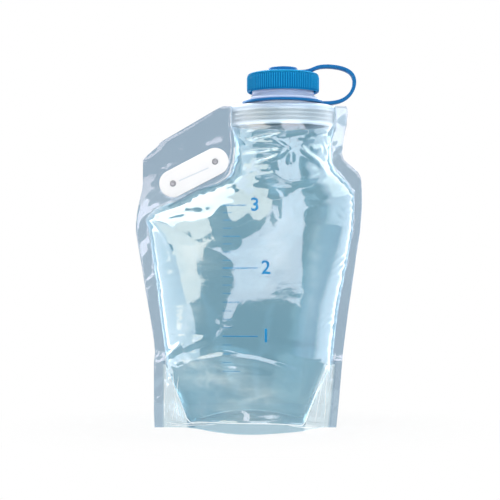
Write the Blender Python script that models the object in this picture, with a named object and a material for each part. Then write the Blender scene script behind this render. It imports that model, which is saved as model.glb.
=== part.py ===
# A collapsible water carrier: a film pouch with a folding base, welded round a wide
# threaded neck, closed by a ribbed screw cap that a flexible tether keeps on the neck.
# Metres, +Z up. The origin is on the floor, under the middle of the pouch.
# The front of the carrier faces -Y, and +X is the side that the tether loops out on.

import math

import bmesh
import bpy
import numpy as np

# Gaps that keep separate pieces apart
TOUCH_GAP = 0.0003
CUT_OVERRUN = 0.004
CRISP_ANGLE = math.radians(35)

# Film pouch
FILM_WIDTH = 0.2147
FILM_HEIGHT = 0.305
FILM_THICK = 0.0005
BELLY_DEPTH = 0.049
FOOT_DEPTH = 0.046
GUSSET_HEIGHT = 0.063
GUSSET_STEP = 0.004
FLOOR_LIFT = 0.006
FLOOR_CROWN = 0.003
SEAL_BEND_REACH = 0.075
BASE_BLEND = 0.075
COLLAR_BLEND = 0.045
FILM_PLAY = 0.0005

# Fitment: the weld collar and the neck above it
NECK_OFFSET = 0.0323
COLLAR_LENGTH = 0.0974
COLLAR_DEPTH = 0.064
COLLAR_HEIGHT = 0.0195
COLLAR_WALL = 0.0016
RIB_DEPTH = 0.0009
RIB_SLOPE = 0.0005
DECK_RISE = 0.0014
DECK_BEVEL = 0.0008
SEAT_RADIUS = 0.033
BEAD_RADIUS = 0.0356
BEAD_HEIGHT = 0.0022
BEAD_ROUND = 0.0004
SHOULDER_HEIGHT = 0.0048
SHOULDER_WALL = 0.003
NECK_RADIUS = 0.0292
NECK_WALL = 0.0026
NECK_HEIGHT = 0.0281
LIP_ROUND = 0.0005

# Screw thread shared by the neck and the cap
THREAD_PITCH = 0.0042
THREAD_BASE = 0.0019
THREAD_CREST = 0.0010
THREAD_DEPTH = 0.0019
THREAD_BURIED = 0.0004
THREAD_LIP_DROP = 0.0036
NECK_THREAD_TURNS = 1.5
CAP_THREAD_TURNS = 1.1

# Cap
CAP_RADIUS = 0.0343
CAP_HEIGHT = 0.0181
CAP_BORE_RADIUS = 0.0320
CAP_TOP_WALL = 0.0022
CAP_FOOT_BEVEL = 0.0013
CAP_TOP_INSET = 0.0030
CAP_TOP_DROP = 0.0010
GRIP_RIB_DEPTH = 0.0006
PLUG_DEPTH = 0.0028
PLUG_WALL = 0.0014
PLUG_GAP = 0.0004
STUD_RADIUS = 0.0070
HEAD_RADIUS = 0.0098
HEAD_HEIGHT = 0.0021
HEAD_ROUND = 0.0006

# Tether: the ring on the neck, the strap and the eye on the cap's stud
RING_WIDTH = 0.0050
RING_THICK = 0.0022
EYE_WIDTH = 0.0063
EYE_THICK = 0.0030
TETHER_ROUND = 0.0005
STRAP_WIDTH = 0.0085
STRAP_THICK = 0.0019
LUG_LENGTH = 0.0016
LUG_WIDTH = 0.0095
STRAP_RISE = 0.0055
STRAP_REACH = 0.0278
STRAP_TOP_FLAT = 0.0300

# Grip: two plates riveted through the sealed corner of the film
GRIP_SPAN = 0.045
GRIP_RADIUS = 0.013
GRIP_PLATE_THICK = 0.0016
GRIP_PLATE_BEVEL = 0.0003
GRIP_ANGLE = math.radians(27.5)
RIVET_SHAFT_RADIUS = 0.0014
RIVET_HEAD_RADIUS = 0.0029
RIVET_HEAD_HEIGHT = 0.0006
RIVET_HEAD_SUNK = 0.0001
SLIT_LENGTH = 0.030
SLIT_WIDTH = 0.0011
SLIT_START = 0.0065
SLIT_TURN = math.radians(-3.7)

# Counts
CHAMBER_COLUMNS = 18
COLLAR_RIBS = 5
COLLAR_SIDES = 40
GUSSET_FREE_POINTS = 4
THREAD_SIDES = 36
CAP_RIBS = 96
CAP_SIDES = 48
TETHER_SIDES = 40
STRAP_STATIONS = 30
GRIP_END_SIDES = 10
RIVET_SIDES = 14

# Outline of the film: each pair is a height as a share of the film's height, and a
# place across it as a share of half the film's width.
LEFT_EDGE_SHARES = (
    (0.000, -0.835), (0.050, -0.841), (0.200, -0.841), (0.235, -0.832), (0.275, -0.843),
    (0.350, -0.877), (0.420, -0.912), (0.500, -0.948), (0.570, -0.983), (0.610, -1.000),
    (0.635, -1.000), (0.665, -0.991), (0.700, -0.973), (0.735, -0.948), (0.760, -0.940),
    (0.833, -0.938), (0.852, -0.885), (0.870, -0.823), (0.889, -0.779), (0.995, -0.2655),
    (1.000, -0.228),
)
RIGHT_EDGE_SHARES = (
    (0.000, 0.772), (0.080, 0.795), (0.160, 0.814), (0.235, 0.832), (0.310, 0.859),
    (0.380, 0.885), (0.460, 0.920), (0.530, 0.947), (0.570, 0.965), (0.610, 0.983),
    (0.650, 0.992), (0.685, 1.000), (0.740, 1.000), (0.777, 0.991), (0.796, 0.965),
    (0.814, 0.903), (0.833, 0.841), (0.852, 0.823), (0.900, 0.838), (0.940, 0.864),
    (0.985, 0.875), (1.000, 0.862),
)

# The inner edge of the side seals, where the two films part and the water space starts
LEFT_SEAL_SHARES = (
    (0.000, -0.735), (0.226, -0.736), (0.334, -0.778), (0.459, -0.821), (0.525, -0.850),
    (0.580, -0.869), (0.622, -0.893), (0.648, -0.913), (0.677, -0.835), (0.688, -0.775),
    (0.709, -0.617), (0.740, -0.460), (0.757, -0.292), (0.778, -0.182), (0.792, -0.153),
    (0.824, -0.124), (0.872, -0.118), (0.920, -0.140), (0.936, -0.162), (1.000, -0.162),
)
RIGHT_SEAL_SHARES = (
    (0.000, 0.680), (0.209, 0.739), (0.311, 0.768), (0.384, 0.796), (0.459, 0.838),
    (0.554, 0.891), (0.620, 0.920), (0.690, 0.932), (0.728, 0.925), (0.760, 0.872),
    (0.797, 0.764), (0.826, 0.728), (0.900, 0.725), (0.936, 0.764), (1.000, 0.764),
)

# How full the pouch is at each height, as a share of the belly's depth
BELLY_SHARES = (
    (0.00, 0.88), (0.12, 0.96), (0.26, 1.00), (0.44, 0.98), (0.60, 0.92),
    (0.72, 0.83), (0.82, 0.73), (0.93, 0.67), (1.00, 0.66),
)

# How far the foot of each wall stands out, from one side seal to the other: places
# across as shares of half the base, and depths as shares of the foot's depth
FOOT_SHARES = (
    (-1.000, 0.000), (-0.817, 0.022), (-0.685, 0.100), (-0.580, 0.240), (-0.448, 0.510),
    (-0.298, 0.760), (-0.120, 0.945), (0.065, 1.000), (0.223, 0.957), (0.394, 0.840),
    (0.566, 0.690), (0.697, 0.530), (0.803, 0.350), (0.880, 0.180), (0.947, 0.060),
    (1.000, 0.000),
)

# Heights of the film's rows of faces, as shares of the film's height
ROW_SHARES = (
    0.000, 0.012, 0.030, 0.055, 0.085, 0.120, 0.158, 0.250, 0.300, 0.355, 0.412, 0.470,
    0.525, 0.580, 0.622, 0.648, 0.665, 0.677, 0.688, 0.709, 0.725, 0.740, 0.757, 0.778,
    0.797, 0.824, 0.852, 0.889, 0.915, 0.936, 0.968, 1.000,
)

BEND_POWER = 0.80
BELLY_ROOM_SHARE = 0.90
SEAM_START_SHARE = 0.60
SEAM_POWER = 1.2
FOLD_START_SHARE = 0.33
FOLD_POWER = 1.6
GRIP_PLACE_SHARES = (-0.486, 0.793)


# Heights and radii that follow from the sizes above
HALF_WIDTH = FILM_WIDTH / 2
HALF_COLLAR = COLLAR_LENGTH / 2
COLLAR_SIDE = COLLAR_DEPTH / 2
COLLAR_FOOT_Z = FILM_HEIGHT - COLLAR_HEIGHT
SEAT_Z = FILM_HEIGHT + DECK_RISE
SEAT_HEIGHT = RING_THICK + 2 * TOUCH_GAP
BEAD_Z = SEAT_Z + SEAT_HEIGHT
SHOULDER_Z = BEAD_Z + BEAD_HEIGHT
LIP_Z = FILM_HEIGHT + NECK_HEIGHT
NECK_BORE_RADIUS = NECK_RADIUS - NECK_WALL
CEILING_Z = LIP_Z + TOUCH_GAP
CAP_TOP_Z = CEILING_Z + CAP_TOP_WALL
CAP_FOOT_Z = CAP_TOP_Z - CAP_HEIGHT
EYE_FOOT_Z = CAP_TOP_Z + TOUCH_GAP
EYE_TOP_Z = EYE_FOOT_Z + EYE_THICK
HEAD_Z = EYE_TOP_Z + TOUCH_GAP
RING_BORE = SEAT_RADIUS + 2 * TOUCH_GAP
RING_RIM = RING_BORE + RING_WIDTH
EYE_BORE = STUD_RADIUS + TOUCH_GAP
EYE_RIM = EYE_BORE + EYE_WIDTH
HALF_SEAL_GAP = TOUCH_GAP / 2
GUSSET_ROOM = FILM_THICK + TOUCH_GAP


def film_line(shares):
    """An outline given in shares, as heights and places across in metres."""
    heights, places = np.array(shares).T
    return heights * FILM_HEIGHT, places * HALF_WIDTH


def across(shares, z):
    heights, places = film_line(shares)
    return np.interp(z, heights, places)


BASE_MIDDLE = (across(LEFT_SEAL_SHARES, 0) + across(RIGHT_SEAL_SHARES, 0)) / 2
BASE_HALF = (across(RIGHT_SEAL_SHARES, 0) - across(LEFT_SEAL_SHARES, 0)) / 2


# Shape of the filled pouch
def smooth_step(value):
    t = np.clip(value, 0, 1)
    return t * t * (3 - 2 * t)


def eased(value, pairs):
    """A smooth curve through pairs of shares, level beyond its first and last."""
    xs, ys = np.array(pairs).T
    slopes = np.gradient(ys, xs)
    slopes[0] = slopes[-1] = 0
    value = np.clip(value, xs[0], xs[-1])
    k = np.clip(np.searchsorted(xs, value) - 1, 0, len(xs) - 2)
    step = xs[k + 1] - xs[k]
    t = (value - xs[k]) / step
    rise = ys[k + 1] - ys[k]
    turn_in, turn_out = slopes[k] * step - rise, rise - slopes[k + 1] * step
    return ys[k] + rise * t + t * (1 - t) * (turn_in * (1 - t) + turn_out * t)


def distance_to_line(x, z, shares):
    """Distance from each point of the film's plane to a seal line."""
    heights, places = film_line(shares)
    starts = np.column_stack([places[:-1], heights[:-1]])
    steps = np.column_stack([np.diff(places), np.diff(heights)])
    lengths = (steps**2).sum(1)
    offsets = np.stack([x, z], -1)[..., None, :] - starts
    along = np.clip((offsets * steps).sum(-1) / lengths, 0, 1)
    gaps = offsets - along[..., None] * steps
    return np.sqrt((gaps**2).sum(-1)).min(-1)


def bend(distance, reach):
    """The swell of the film from a seal inwards: 0 at the seal, 1 from the reach on."""
    t = np.clip(distance / reach, 0, 1)
    return (1 - (1 - t) ** 2) ** BEND_POWER


def collar_reach(angle, inset):
    """Radius of the collar's lens-shaped outline at an angle, an inset inside it."""
    half, side = HALF_COLLAR - inset, COLLAR_SIDE - inset
    back = (half**2 + side**2) / (2 * side) - side
    sine = abs(math.sin(angle))
    return math.sqrt((back * sine) ** 2 + half**2) - back * sine


def wrap_depth(x, left, right):
    """Half the depth of a lens-shaped outline round the collar, between two seals."""
    half, side = (right - left) / 2, COLLAR_SIDE + FILM_PLAY
    arc = (half**2 + side**2) / (2 * side)
    inside = np.clip(arc**2 - (x - (left + right) / 2) ** 2, 0, None)
    return np.clip(np.sqrt(inside) - (arc - side), 0, None)


def half_depth(x, z):
    """How far the inside of a film lies from the seal plane, beyond the seal's own gap."""
    x, z = np.broadcast_arrays(np.asarray(x, float), np.asarray(z, float))
    left, right = across(LEFT_SEAL_SHARES, z), across(RIGHT_SEAL_SHARES, z)
    room = np.minimum(SEAL_BEND_REACH, BELLY_ROOM_SHARE * (right - left) / 2)
    full = BELLY_DEPTH * eased(z / FILM_HEIGHT, BELLY_SHARES)
    swell = full * bend(distance_to_line(x, z, LEFT_SEAL_SHARES), room)
    swell = swell * bend(distance_to_line(x, z, RIGHT_SEAL_SHARES), room)
    swell = np.where((x > left) & (x < right), swell, 0)
    foot = FOOT_DEPTH * eased((x - BASE_MIDDLE) / BASE_HALF, FOOT_SHARES)
    rise = smooth_step(z / BASE_BLEND)
    swell = foot * (1 - rise) + swell * rise
    close = smooth_step((z - COLLAR_FOOT_Z) / COLLAR_BLEND + 1)
    return swell * (1 - close) + wrap_depth(x, left, right) * close


def gusset_room(z):
    """The room that the base film takes between the side seals, up to its fold."""
    return GUSSET_ROOM * (1 - smooth_step((z - GUSSET_HEIGHT - TOUCH_GAP) / GUSSET_STEP))


# Mesh tools
def material(name, colour, roughness, alpha=1.0, metallic=0.0):
    found = bpy.data.materials.new(name)
    found.use_nodes = True
    shader = found.node_tree.nodes["Principled BSDF"]
    shader.inputs["Base Color"].default_value = (*colour, 1.0)
    shader.inputs["Roughness"].default_value = roughness
    shader.inputs["Metallic"].default_value = metallic
    shader.inputs["Alpha"].default_value = alpha
    return found


def solid(name, points, faces, finish=None, helper=False):
    """A named object from points and faces, with its faces turned outwards."""
    mesh = bpy.data.meshes.new(name)
    mesh.from_pydata([tuple(map(float, p)) for p in points], [], faces)
    working = bmesh.new()
    working.from_mesh(mesh)
    bmesh.ops.recalc_face_normals(working, faces=working.faces)
    working.to_mesh(mesh)
    working.free()
    made = bpy.data.objects.new(name, mesh)
    bpy.context.scene.collection.objects.link(made)
    mesh.shade_smooth()
    if finish:
        mesh.materials.append(finish)
    if helper:
        made.hide_render = True
        made.display_type = "WIRE"
    return made


def crease_group():
    """Geometry nodes that shade a mesh smooth and keep its steeper edges crisp."""
    group = bpy.data.node_groups.new("crisp_edges", "GeometryNodeTree")
    group.interface.new_socket("Mesh", in_out="INPUT", socket_type="NodeSocketGeometry")
    group.interface.new_socket("Mesh", in_out="OUTPUT", socket_type="NodeSocketGeometry")
    start = group.nodes.new("NodeGroupInput")
    end = group.nodes.new("NodeGroupOutput")
    angle = group.nodes.new("GeometryNodeInputMeshEdgeAngle")
    steep = group.nodes.new("FunctionNodeCompare")
    steep.operation = "GREATER_THAN"
    steep.inputs["B"].default_value = CRISP_ANGLE
    crisp = group.nodes.new("GeometryNodeSetShadeSmooth")
    crisp.domain = "EDGE"
    crisp.inputs["Shade Smooth"].default_value = False
    group.links.new(start.outputs["Mesh"], crisp.inputs["Geometry"])
    group.links.new(angle.outputs["Unsigned Angle"], steep.inputs["A"])
    group.links.new(steep.outputs["Result"], crisp.inputs["Selection"])
    group.links.new(crisp.outputs["Geometry"], end.inputs["Mesh"])
    return group


def loft(rings, around=True, joined=False, capped=True):
    """Points and faces of a skin over rings of equally many points.
    around closes each ring, joined joins the last ring to the first."""
    points = [p for ring in rings for p in ring]
    count, size = len(rings), len(rings[0])
    faces = []
    for i in range(count if joined else count - 1):
        for j in range(size if around else size - 1):
            a, b = i * size + j, i * size + (j + 1) % size
            c, d = ((i + 1) % count) * size + j, ((i + 1) % count) * size + (j + 1) % size
            faces.append((a, b, d, c))
    if capped and not joined:
        faces.append(tuple(range(size)))
        faces.append(tuple((count - 1) * size + j for j in range(size)))
    return points, faces


def circle(radius, z, sides, centre=(0.0, 0.0)):
    turns = [2 * math.pi * k / sides for k in range(sides)]
    return [
        (centre[0] + radius * math.cos(t), centre[1] + radius * math.sin(t), z)
        for t in turns
    ]


def turned(profile, sides, joined=True):
    """A skin turned about the neck's axis from a profile of (radius, height)."""
    axis = (NECK_OFFSET, 0.0)
    return loft([circle(r, z, sides, axis) for r, z in profile], joined=joined)


def cut(target, tool):
    change = target.modifiers.new(tool.name, "BOOLEAN")
    change.operation = "DIFFERENCE"
    change.solver = "EXACT"
    change.object = tool


def join(target, tool):
    change = target.modifiers.new(tool.name, "BOOLEAN")
    change.operation = "UNION"
    change.solver = "EXACT"
    change.object = tool


def rounded_ring(inner, outer, low, high, rounding):
    """Profile of a washer with its corners taken off."""
    return [
        (inner + rounding, low), (outer - rounding, low), (outer, low + rounding),
        (outer, high - rounding), (outer - rounding, high), (inner + rounding, high),
        (inner, high - rounding), (inner, low + rounding),
    ]


def thread_ridge(name, root, outward, turns, top_z, first_angle, finish):
    """A helical ridge that stands out of a round wall, or into its bore, and runs out
    to nothing at both ends."""
    count = int(THREAD_SIDES * turns)
    way = 1 if outward else -1
    rings = []
    for k in range(count + 1):
        turn = turns * k / count
        angle = first_angle - 2 * math.pi * turn
        z = top_z - THREAD_PITCH * turn
        full = min(1.0, min(k, count - k) / 3)
        foot = root - way * THREAD_BURIED
        crest = root + way * max(THREAD_DEPTH * full - THREAD_BURIED * (1 - full), 0)
        profile = (
            (foot, -THREAD_BASE / 2), (crest, -THREAD_CREST / 2),
            (crest, THREAD_CREST / 2), (foot, THREAD_BASE / 2),
        )
        rings.append([
            (NECK_OFFSET + r * math.cos(angle), r * math.sin(angle), z + dz)
            for r, dz in profile
        ])
    return solid(name, *loft(rings), finish, helper=True)


# Film panels and base
def chamber_columns():
    """Places across the water space from 0 to 1, closer together near the seals."""
    even = np.linspace(0, 1, CHAMBER_COLUMNS + 1)
    return 0.5 * even + 0.25 * (1 - np.cos(np.pi * even))


def film_rows():
    rows = {round(share * FILM_HEIGHT, 6) for share in ROW_SHARES}
    step_foot = GUSSET_HEIGHT + TOUCH_GAP
    step_top = step_foot + GUSSET_STEP
    rows = {z for z in rows if not step_foot - GUSSET_STEP < z < step_top + GUSSET_STEP}
    return sorted(rows | {step_foot, step_top})


def wall_grid():
    """Points on the inside of the rear wall, as rows up the film by columns across it."""
    rows = []
    for z in film_rows():
        left, right = across(LEFT_SEAL_SHARES, z), across(RIGHT_SEAL_SHARES, z)
        xs = np.concatenate([
            [across(LEFT_EDGE_SHARES, z)],
            left + (right - left) * chamber_columns(),
            [across(RIGHT_EDGE_SHARES, z)],
        ])
        depths = HALF_SEAL_GAP + gusset_room(z) + half_depth(xs, z)
        rows.append(np.column_stack([xs, depths, np.full(len(xs), z)]))
    return np.array(rows)


def grid_normals(grid):
    """Unit normals of a grid of points, on its +Y side or, where it lies flat, below."""
    normals = np.cross(np.gradient(grid, axis=0), np.gradient(grid, axis=1))
    normals /= np.linalg.norm(normals, axis=-1, keepdims=True)
    return normals


def film_between(name, near, far, falling, finish):
    """A closed film between two grids of points that share their rows and columns.
    falling tells which way each cell of the grid is split into its two triangles."""
    rows, width = near.shape[:2]
    points = np.concatenate([near.reshape(-1, 3), far.reshape(-1, 3)])
    faces = []
    for i in range(rows - 1):
        for j in range(width - 1):
            a, b, c, d = (
                i * width + j, i * width + j + 1,
                (i + 1) * width + j + 1, (i + 1) * width + j,
            )
            corners = ((b, c, d), (b, d, a)) if falling[i, j] else ((a, b, c), (a, c, d))
            for face in corners:
                faces.append(face)
                faces.append(tuple(k + rows * width for k in face[::-1]))
    rim = list(range(width))
    rim += [i * width + width - 1 for i in range(1, rows)]
    rim += [(rows - 1) * width + j for j in range(width - 2, -1, -1)]
    rim += [i * width for i in range(rows - 2, 0, -1)]
    for a, b in zip(rim, rim[1:] + rim[:1]):
        faces.append((b, a, a + rows * width, b + rows * width))
    return solid(name, points, faces, finish)


def wall_split(rows, width):
    """The wall's cells are split towards the base in the middle, the same on each side."""
    return np.tile(np.arange(width - 1) < (width - 1) // 2, (rows - 1, 1))


def film_panel(name, side, finish):
    """One wall of the pouch: a film that lies flat along the seals and swells between."""
    near = wall_grid()
    far = near + FILM_THICK * grid_normals(near)
    outward = np.array([0, FILM_THICK, 0])
    for edge in ((0, ...), (-1, ...), (slice(None), 0), (slice(None), -1)):
        far[edge] = near[edge] + outward
    turn = np.array([1, side, 1])
    split = wall_split(*near.shape[:2])
    return film_between(name, near * turn, far * turn, split, finish)


def corner_share(x, start_share):
    """0 over the middle of the base, rising to 1 at the side seals."""
    start = start_share * BASE_HALF
    return np.clip((abs(x - BASE_MIDDLE) - start) / (BASE_HALF - start), 0, 1)


def gusset_column(column, normals, welded_rows):
    """Half of the base film's section along one column of the wall: up the wall to the
    seam, then free to the fold in the middle. The free part takes the spare points."""
    x = column[0, 0]
    seam = corner_share(x, SEAM_START_SHARE) ** SEAM_POWER
    fold = corner_share(x, FOLD_START_SHARE) ** FOLD_POWER
    crown = FLOOR_LIFT + FLOOR_CROWN
    fold_z = crown + (GUSSET_HEIGHT - crown) * fold
    seam_z = FLOOR_LIFT + (GUSSET_HEIGHT - FLOOR_CROWN - FLOOR_LIFT) * seam
    heights = column[:welded_rows, 2]
    heights = np.append(heights[heights < seam_z - TOUCH_GAP], seam_z)
    face = column - TOUCH_GAP * normals
    welded = np.column_stack([
        np.interp(heights, column[:, 2], face[:, axis]) for axis in (0, 1)
    ])
    welded = np.column_stack([welded, heights])
    welded[0, 2] = TOUCH_GAP
    welded[-1] -= TOUCH_GAP * np.array([0, normals[len(welded) - 1, 1], 0])
    spare = welded_rows + 1 + GUSSET_FREE_POINTS - len(welded)
    steps = np.arange(1, spare + 1) / spare
    bulge = 1 + 2 * corner_share(x, FOLD_START_SHARE)
    free = np.column_stack([
        np.full(spare, welded[-1, 0]),
        welded[-1, 1] * (1 - steps**bulge),
        seam_z + (fold_z - seam_z) * steps,
    ])
    return np.concatenate([welded, free])


def base_gusset(name, finish):
    """The folded base film: welded up the inside of both walls, and spread between them
    as the floor of the pouch. Its fold runs along the middle and climbs to the seals."""
    wall = wall_grid()
    normals = grid_normals(wall)
    welded_rows = int((wall[:, 0, 2] < GUSSET_HEIGHT - FLOOR_CROWN).sum())
    top = np.array([
        gusset_column(wall[:, j], normals[:, j], welded_rows)
        for j in range(wall.shape[1])
    ])
    top[0, :, 0] += TOUCH_GAP
    top[-1, :, 0] -= TOUCH_GAP
    under = top + FILM_THICK * grid_normals(top)
    under[0] = top[0] - (0, FILM_THICK, 0)
    under[-1] = top[-1] - (0, FILM_THICK, 0)
    under[:, 0] = top[:, 0] - (0, FILM_THICK, 0)
    under[..., 1] = np.clip(under[..., 1], HALF_SEAL_GAP, None)
    under[:, -1] = top[:, -1] - (0, 0, FILM_THICK)
    turn = np.array([1, -1, 1])
    whole = [np.concatenate([g * turn, g[:, -2::-1]], axis=1) for g in (under, top)]
    split = wall_split(*top.shape[1::-1]).T
    split = np.concatenate([split, ~split[:, ::-1]], axis=1)
    return film_between(name, *whole, split, finish)


# Fitment
def collar_ring(inset, z):
    points = []
    for k in range(COLLAR_SIDES):
        angle = 2 * math.pi * k / COLLAR_SIDES
        reach = collar_reach(angle, inset)
        points.append((NECK_OFFSET + reach * math.cos(angle), reach * math.sin(angle), z))
    return points


def neck_ring(radius, z):
    return circle(radius, z, COLLAR_SIDES, (NECK_OFFSET, 0.0))


def neck_fitment(name, finish):
    """The moulding that the film is welded round: a ribbed lens-shaped collar, a deck
    with a seat for the tether's ring, a retaining bead, and the threaded neck."""
    pitch = COLLAR_HEIGHT / COLLAR_RIBS
    rings = [collar_ring(RIB_DEPTH, COLLAR_FOOT_Z)]
    for k in range(COLLAR_RIBS):
        foot = COLLAR_FOOT_Z + k * pitch
        rings.append(collar_ring(0, foot + RIB_SLOPE))
        rings.append(collar_ring(0, foot + pitch - RIB_SLOPE))
        if k < COLLAR_RIBS - 1:
            rings.append(collar_ring(RIB_DEPTH, foot + pitch))
    rings += [
        collar_ring(DECK_BEVEL, FILM_HEIGHT + RIB_SLOPE),
        neck_ring(SEAT_RADIUS, SEAT_Z),
        neck_ring(SEAT_RADIUS, BEAD_Z),
        neck_ring(BEAD_RADIUS - BEAD_ROUND, BEAD_Z),
        neck_ring(BEAD_RADIUS, BEAD_Z + BEAD_HEIGHT / 2),
        neck_ring(BEAD_RADIUS - BEAD_ROUND, SHOULDER_Z),
    ]
    shoulder = BEAD_RADIUS - BEAD_ROUND - NECK_RADIUS
    for share in (0.3, 0.65, 1.0):
        radius = NECK_RADIUS + shoulder * (1 - share) ** 2
        rings.append(neck_ring(radius, SHOULDER_Z + SHOULDER_HEIGHT * share))
    wall = RIB_DEPTH + COLLAR_WALL
    rings += [
        neck_ring(NECK_RADIUS, LIP_Z - LIP_ROUND),
        neck_ring(NECK_RADIUS - LIP_ROUND, LIP_Z),
        neck_ring(NECK_BORE_RADIUS + LIP_ROUND, LIP_Z),
        neck_ring(NECK_BORE_RADIUS, LIP_Z - LIP_ROUND),
        neck_ring(NECK_BORE_RADIUS, SHOULDER_Z + SHOULDER_HEIGHT / 2),
        neck_ring(SEAT_RADIUS - SHOULDER_WALL, SHOULDER_Z - BEAD_HEIGHT / 2),
        neck_ring(SEAT_RADIUS - SHOULDER_WALL, SEAT_Z),
        collar_ring(wall, FILM_HEIGHT - COLLAR_WALL),
        collar_ring(wall, COLLAR_FOOT_Z),
    ]
    body = solid(name, *loft(rings, joined=True), finish)
    ridge = thread_ridge(
        "neck_thread", NECK_RADIUS, True, NECK_THREAD_TURNS,
        LIP_Z - THREAD_LIP_DROP, 0.0, finish,
    )
    join(body, ridge)
    return body


# Cap
def cap(name, finish):
    """The screw cap: a ribbed skirt, a thread and a sealing plug inside it, and on top
    the headed stud that holds the tether's eye."""
    def rim(crest, valley, z):
        points = []
        for k in range(2 * CAP_RIBS):
            angle = math.pi * k / CAP_RIBS
            radius = valley if k % 2 else crest
            points.append((
                NECK_OFFSET + radius * math.cos(angle), radius * math.sin(angle), z,
            ))
        return points

    valley = CAP_RADIUS - GRIP_RIB_DEPTH
    foot, top = CAP_RADIUS - CAP_FOOT_BEVEL, CAP_RADIUS - CAP_TOP_INSET
    body = solid(name, *loft([
        rim(foot, foot, CAP_FOOT_Z),
        rim(CAP_RADIUS, valley, CAP_FOOT_Z + CAP_FOOT_BEVEL),
        rim(CAP_RADIUS, valley, CAP_TOP_Z - CAP_TOP_DROP),
        rim(top, top, CAP_TOP_Z),
    ]), finish)
    hollow = solid("cap_hollow", *turned([
        (CAP_BORE_RADIUS, CAP_FOOT_Z - CUT_OVERRUN), (CAP_BORE_RADIUS, CEILING_Z),
    ], CAP_SIDES, joined=False), helper=True)
    cut(body, hollow)
    plug_rim = NECK_BORE_RADIUS - PLUG_GAP
    plug = solid("cap_plug", *turned([
        (plug_rim - PLUG_WALL, CEILING_Z + CAP_TOP_WALL / 2),
        (plug_rim, CEILING_Z + CAP_TOP_WALL / 2),
        (plug_rim, CEILING_Z - PLUG_DEPTH),
        (plug_rim - PLUG_WALL, CEILING_Z - PLUG_DEPTH),
    ], CAP_SIDES), helper=True)
    join(body, plug)
    stud = solid("cap_stud", *turned([
        (STUD_RADIUS, CAP_TOP_Z - CAP_TOP_WALL / 2), (STUD_RADIUS, HEAD_Z),
        (HEAD_RADIUS, HEAD_Z), (HEAD_RADIUS, HEAD_Z + HEAD_HEIGHT - HEAD_ROUND),
        (HEAD_RADIUS - HEAD_ROUND, HEAD_Z + HEAD_HEIGHT),
    ], CAP_SIDES, joined=False), helper=True)
    join(body, stud)
    ridge = thread_ridge(
        "cap_thread", CAP_BORE_RADIUS, False, CAP_THREAD_TURNS,
        LIP_Z - THREAD_LIP_DROP - THREAD_PITCH / 2, 0.0, finish,
    )
    join(body, ridge)
    return body


# Tether
def lug(name, start, z, thick, finish):
    """The flat-faced block that joins the strap to a round part of the tether."""
    low, high = z - thick / 2, z + thick / 2
    near, far = start - RING_WIDTH / 2, start + LUG_LENGTH
    side = LUG_WIDTH / 2
    base = [(near, -side), (far, -side), (far, side), (near, side)]
    rings = [[(x, y, z) for x, y in base] for z in (low, high)]
    return solid(name, *loft(rings), finish, helper=True)


def tether_loop(name, bore, rim, foot_z, thick, finish):
    """A flat round part of the tether with its lug towards +X."""
    profile = rounded_ring(bore, rim, foot_z, foot_z + thick, TETHER_ROUND)
    body = solid(name, *turned(profile, TETHER_SIDES), finish)
    height = thick - 2 * TETHER_ROUND
    join(body, lug(name + "_lug", NECK_OFFSET + rim, foot_z + thick / 2, height, finish))
    return body


def strap_route():
    """The strap's middle line in the XZ plane: off the eye's lug, over in a wide loop,
    and back under to the ring's lug."""
    eye_x = NECK_OFFSET + EYE_RIM + LUG_LENGTH + TOUCH_GAP
    ring_x = NECK_OFFSET + RING_RIM + LUG_LENGTH + TOUCH_GAP
    high = EYE_FOOT_Z + EYE_THICK / 2
    low = SEAT_Z + TOUCH_GAP + RING_THICK / 2
    crest = high + STRAP_RISE
    far = ring_x + STRAP_REACH
    drop = crest - low
    corners = np.array([
        (eye_x, high), (eye_x + STRAP_TOP_FLAT / 3, high),
        (ring_x - STRAP_TOP_FLAT / 3, crest), (ring_x + STRAP_TOP_FLAT / 3, crest),
        (far, crest - drop / 6), (far, low + drop / 3),
        (ring_x + STRAP_TOP_FLAT / 2, low), (ring_x + LUG_LENGTH, low), (ring_x, low),
    ])
    return b_spline(corners, STRAP_STATIONS)


def b_spline(corners, count):
    """A smooth clamped cubic curve that starts and ends on its first and last corner."""
    spans = len(corners) - 3
    knots = np.concatenate([[0, 0, 0], np.arange(spans + 1), [spans] * 3]).astype(float)
    points = []
    for t in np.linspace(0, spans, count):
        k = min(int(t), spans - 1) + 3
        d = [corners[j + k - 3].astype(float) for j in range(4)]
        for r in range(1, 4):
            for j in range(3, r - 1, -1):
                low, high = knots[j + k - 3], knots[j + 1 + k - r]
                a = (t - low) / (high - low)
                d[j] = (1 - a) * d[j - 1] + a * d[j]
        points.append(d[3])
    return np.array(points)


def tether_strap(name, finish):
    route = strap_route()
    tangents = np.gradient(route, axis=0)
    tangents[0], tangents[-1] = (1, 0), (-1, 0)
    tangents /= np.linalg.norm(tangents, axis=1, keepdims=True)
    rings = []
    for (x, z), (tx, tz) in zip(route, tangents):
        nx, nz = -tz * STRAP_THICK / 2, tx * STRAP_THICK / 2
        side = STRAP_WIDTH / 2
        rings.append([
            (x - nx, -side, z - nz), (x + nx, -side, z + nz),
            (x + nx, side, z + nz), (x - nx, side, z - nz),
        ])
    return solid(name, *loft(rings), finish)


# Grip
def grip_frame():
    """The grip's first rivet, its direction and the direction square to it, in XZ."""
    middle = np.array([
        GRIP_PLACE_SHARES[0] * HALF_WIDTH, GRIP_PLACE_SHARES[1] * FILM_HEIGHT,
    ])
    way = np.array([math.cos(GRIP_ANGLE), math.sin(GRIP_ANGLE)])
    square = np.array([-way[1], way[0]])
    return middle - way * GRIP_SPAN / 2, way, square


def rivet_places():
    first, way, _ = grip_frame()
    return [first, first + way * GRIP_SPAN]


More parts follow.
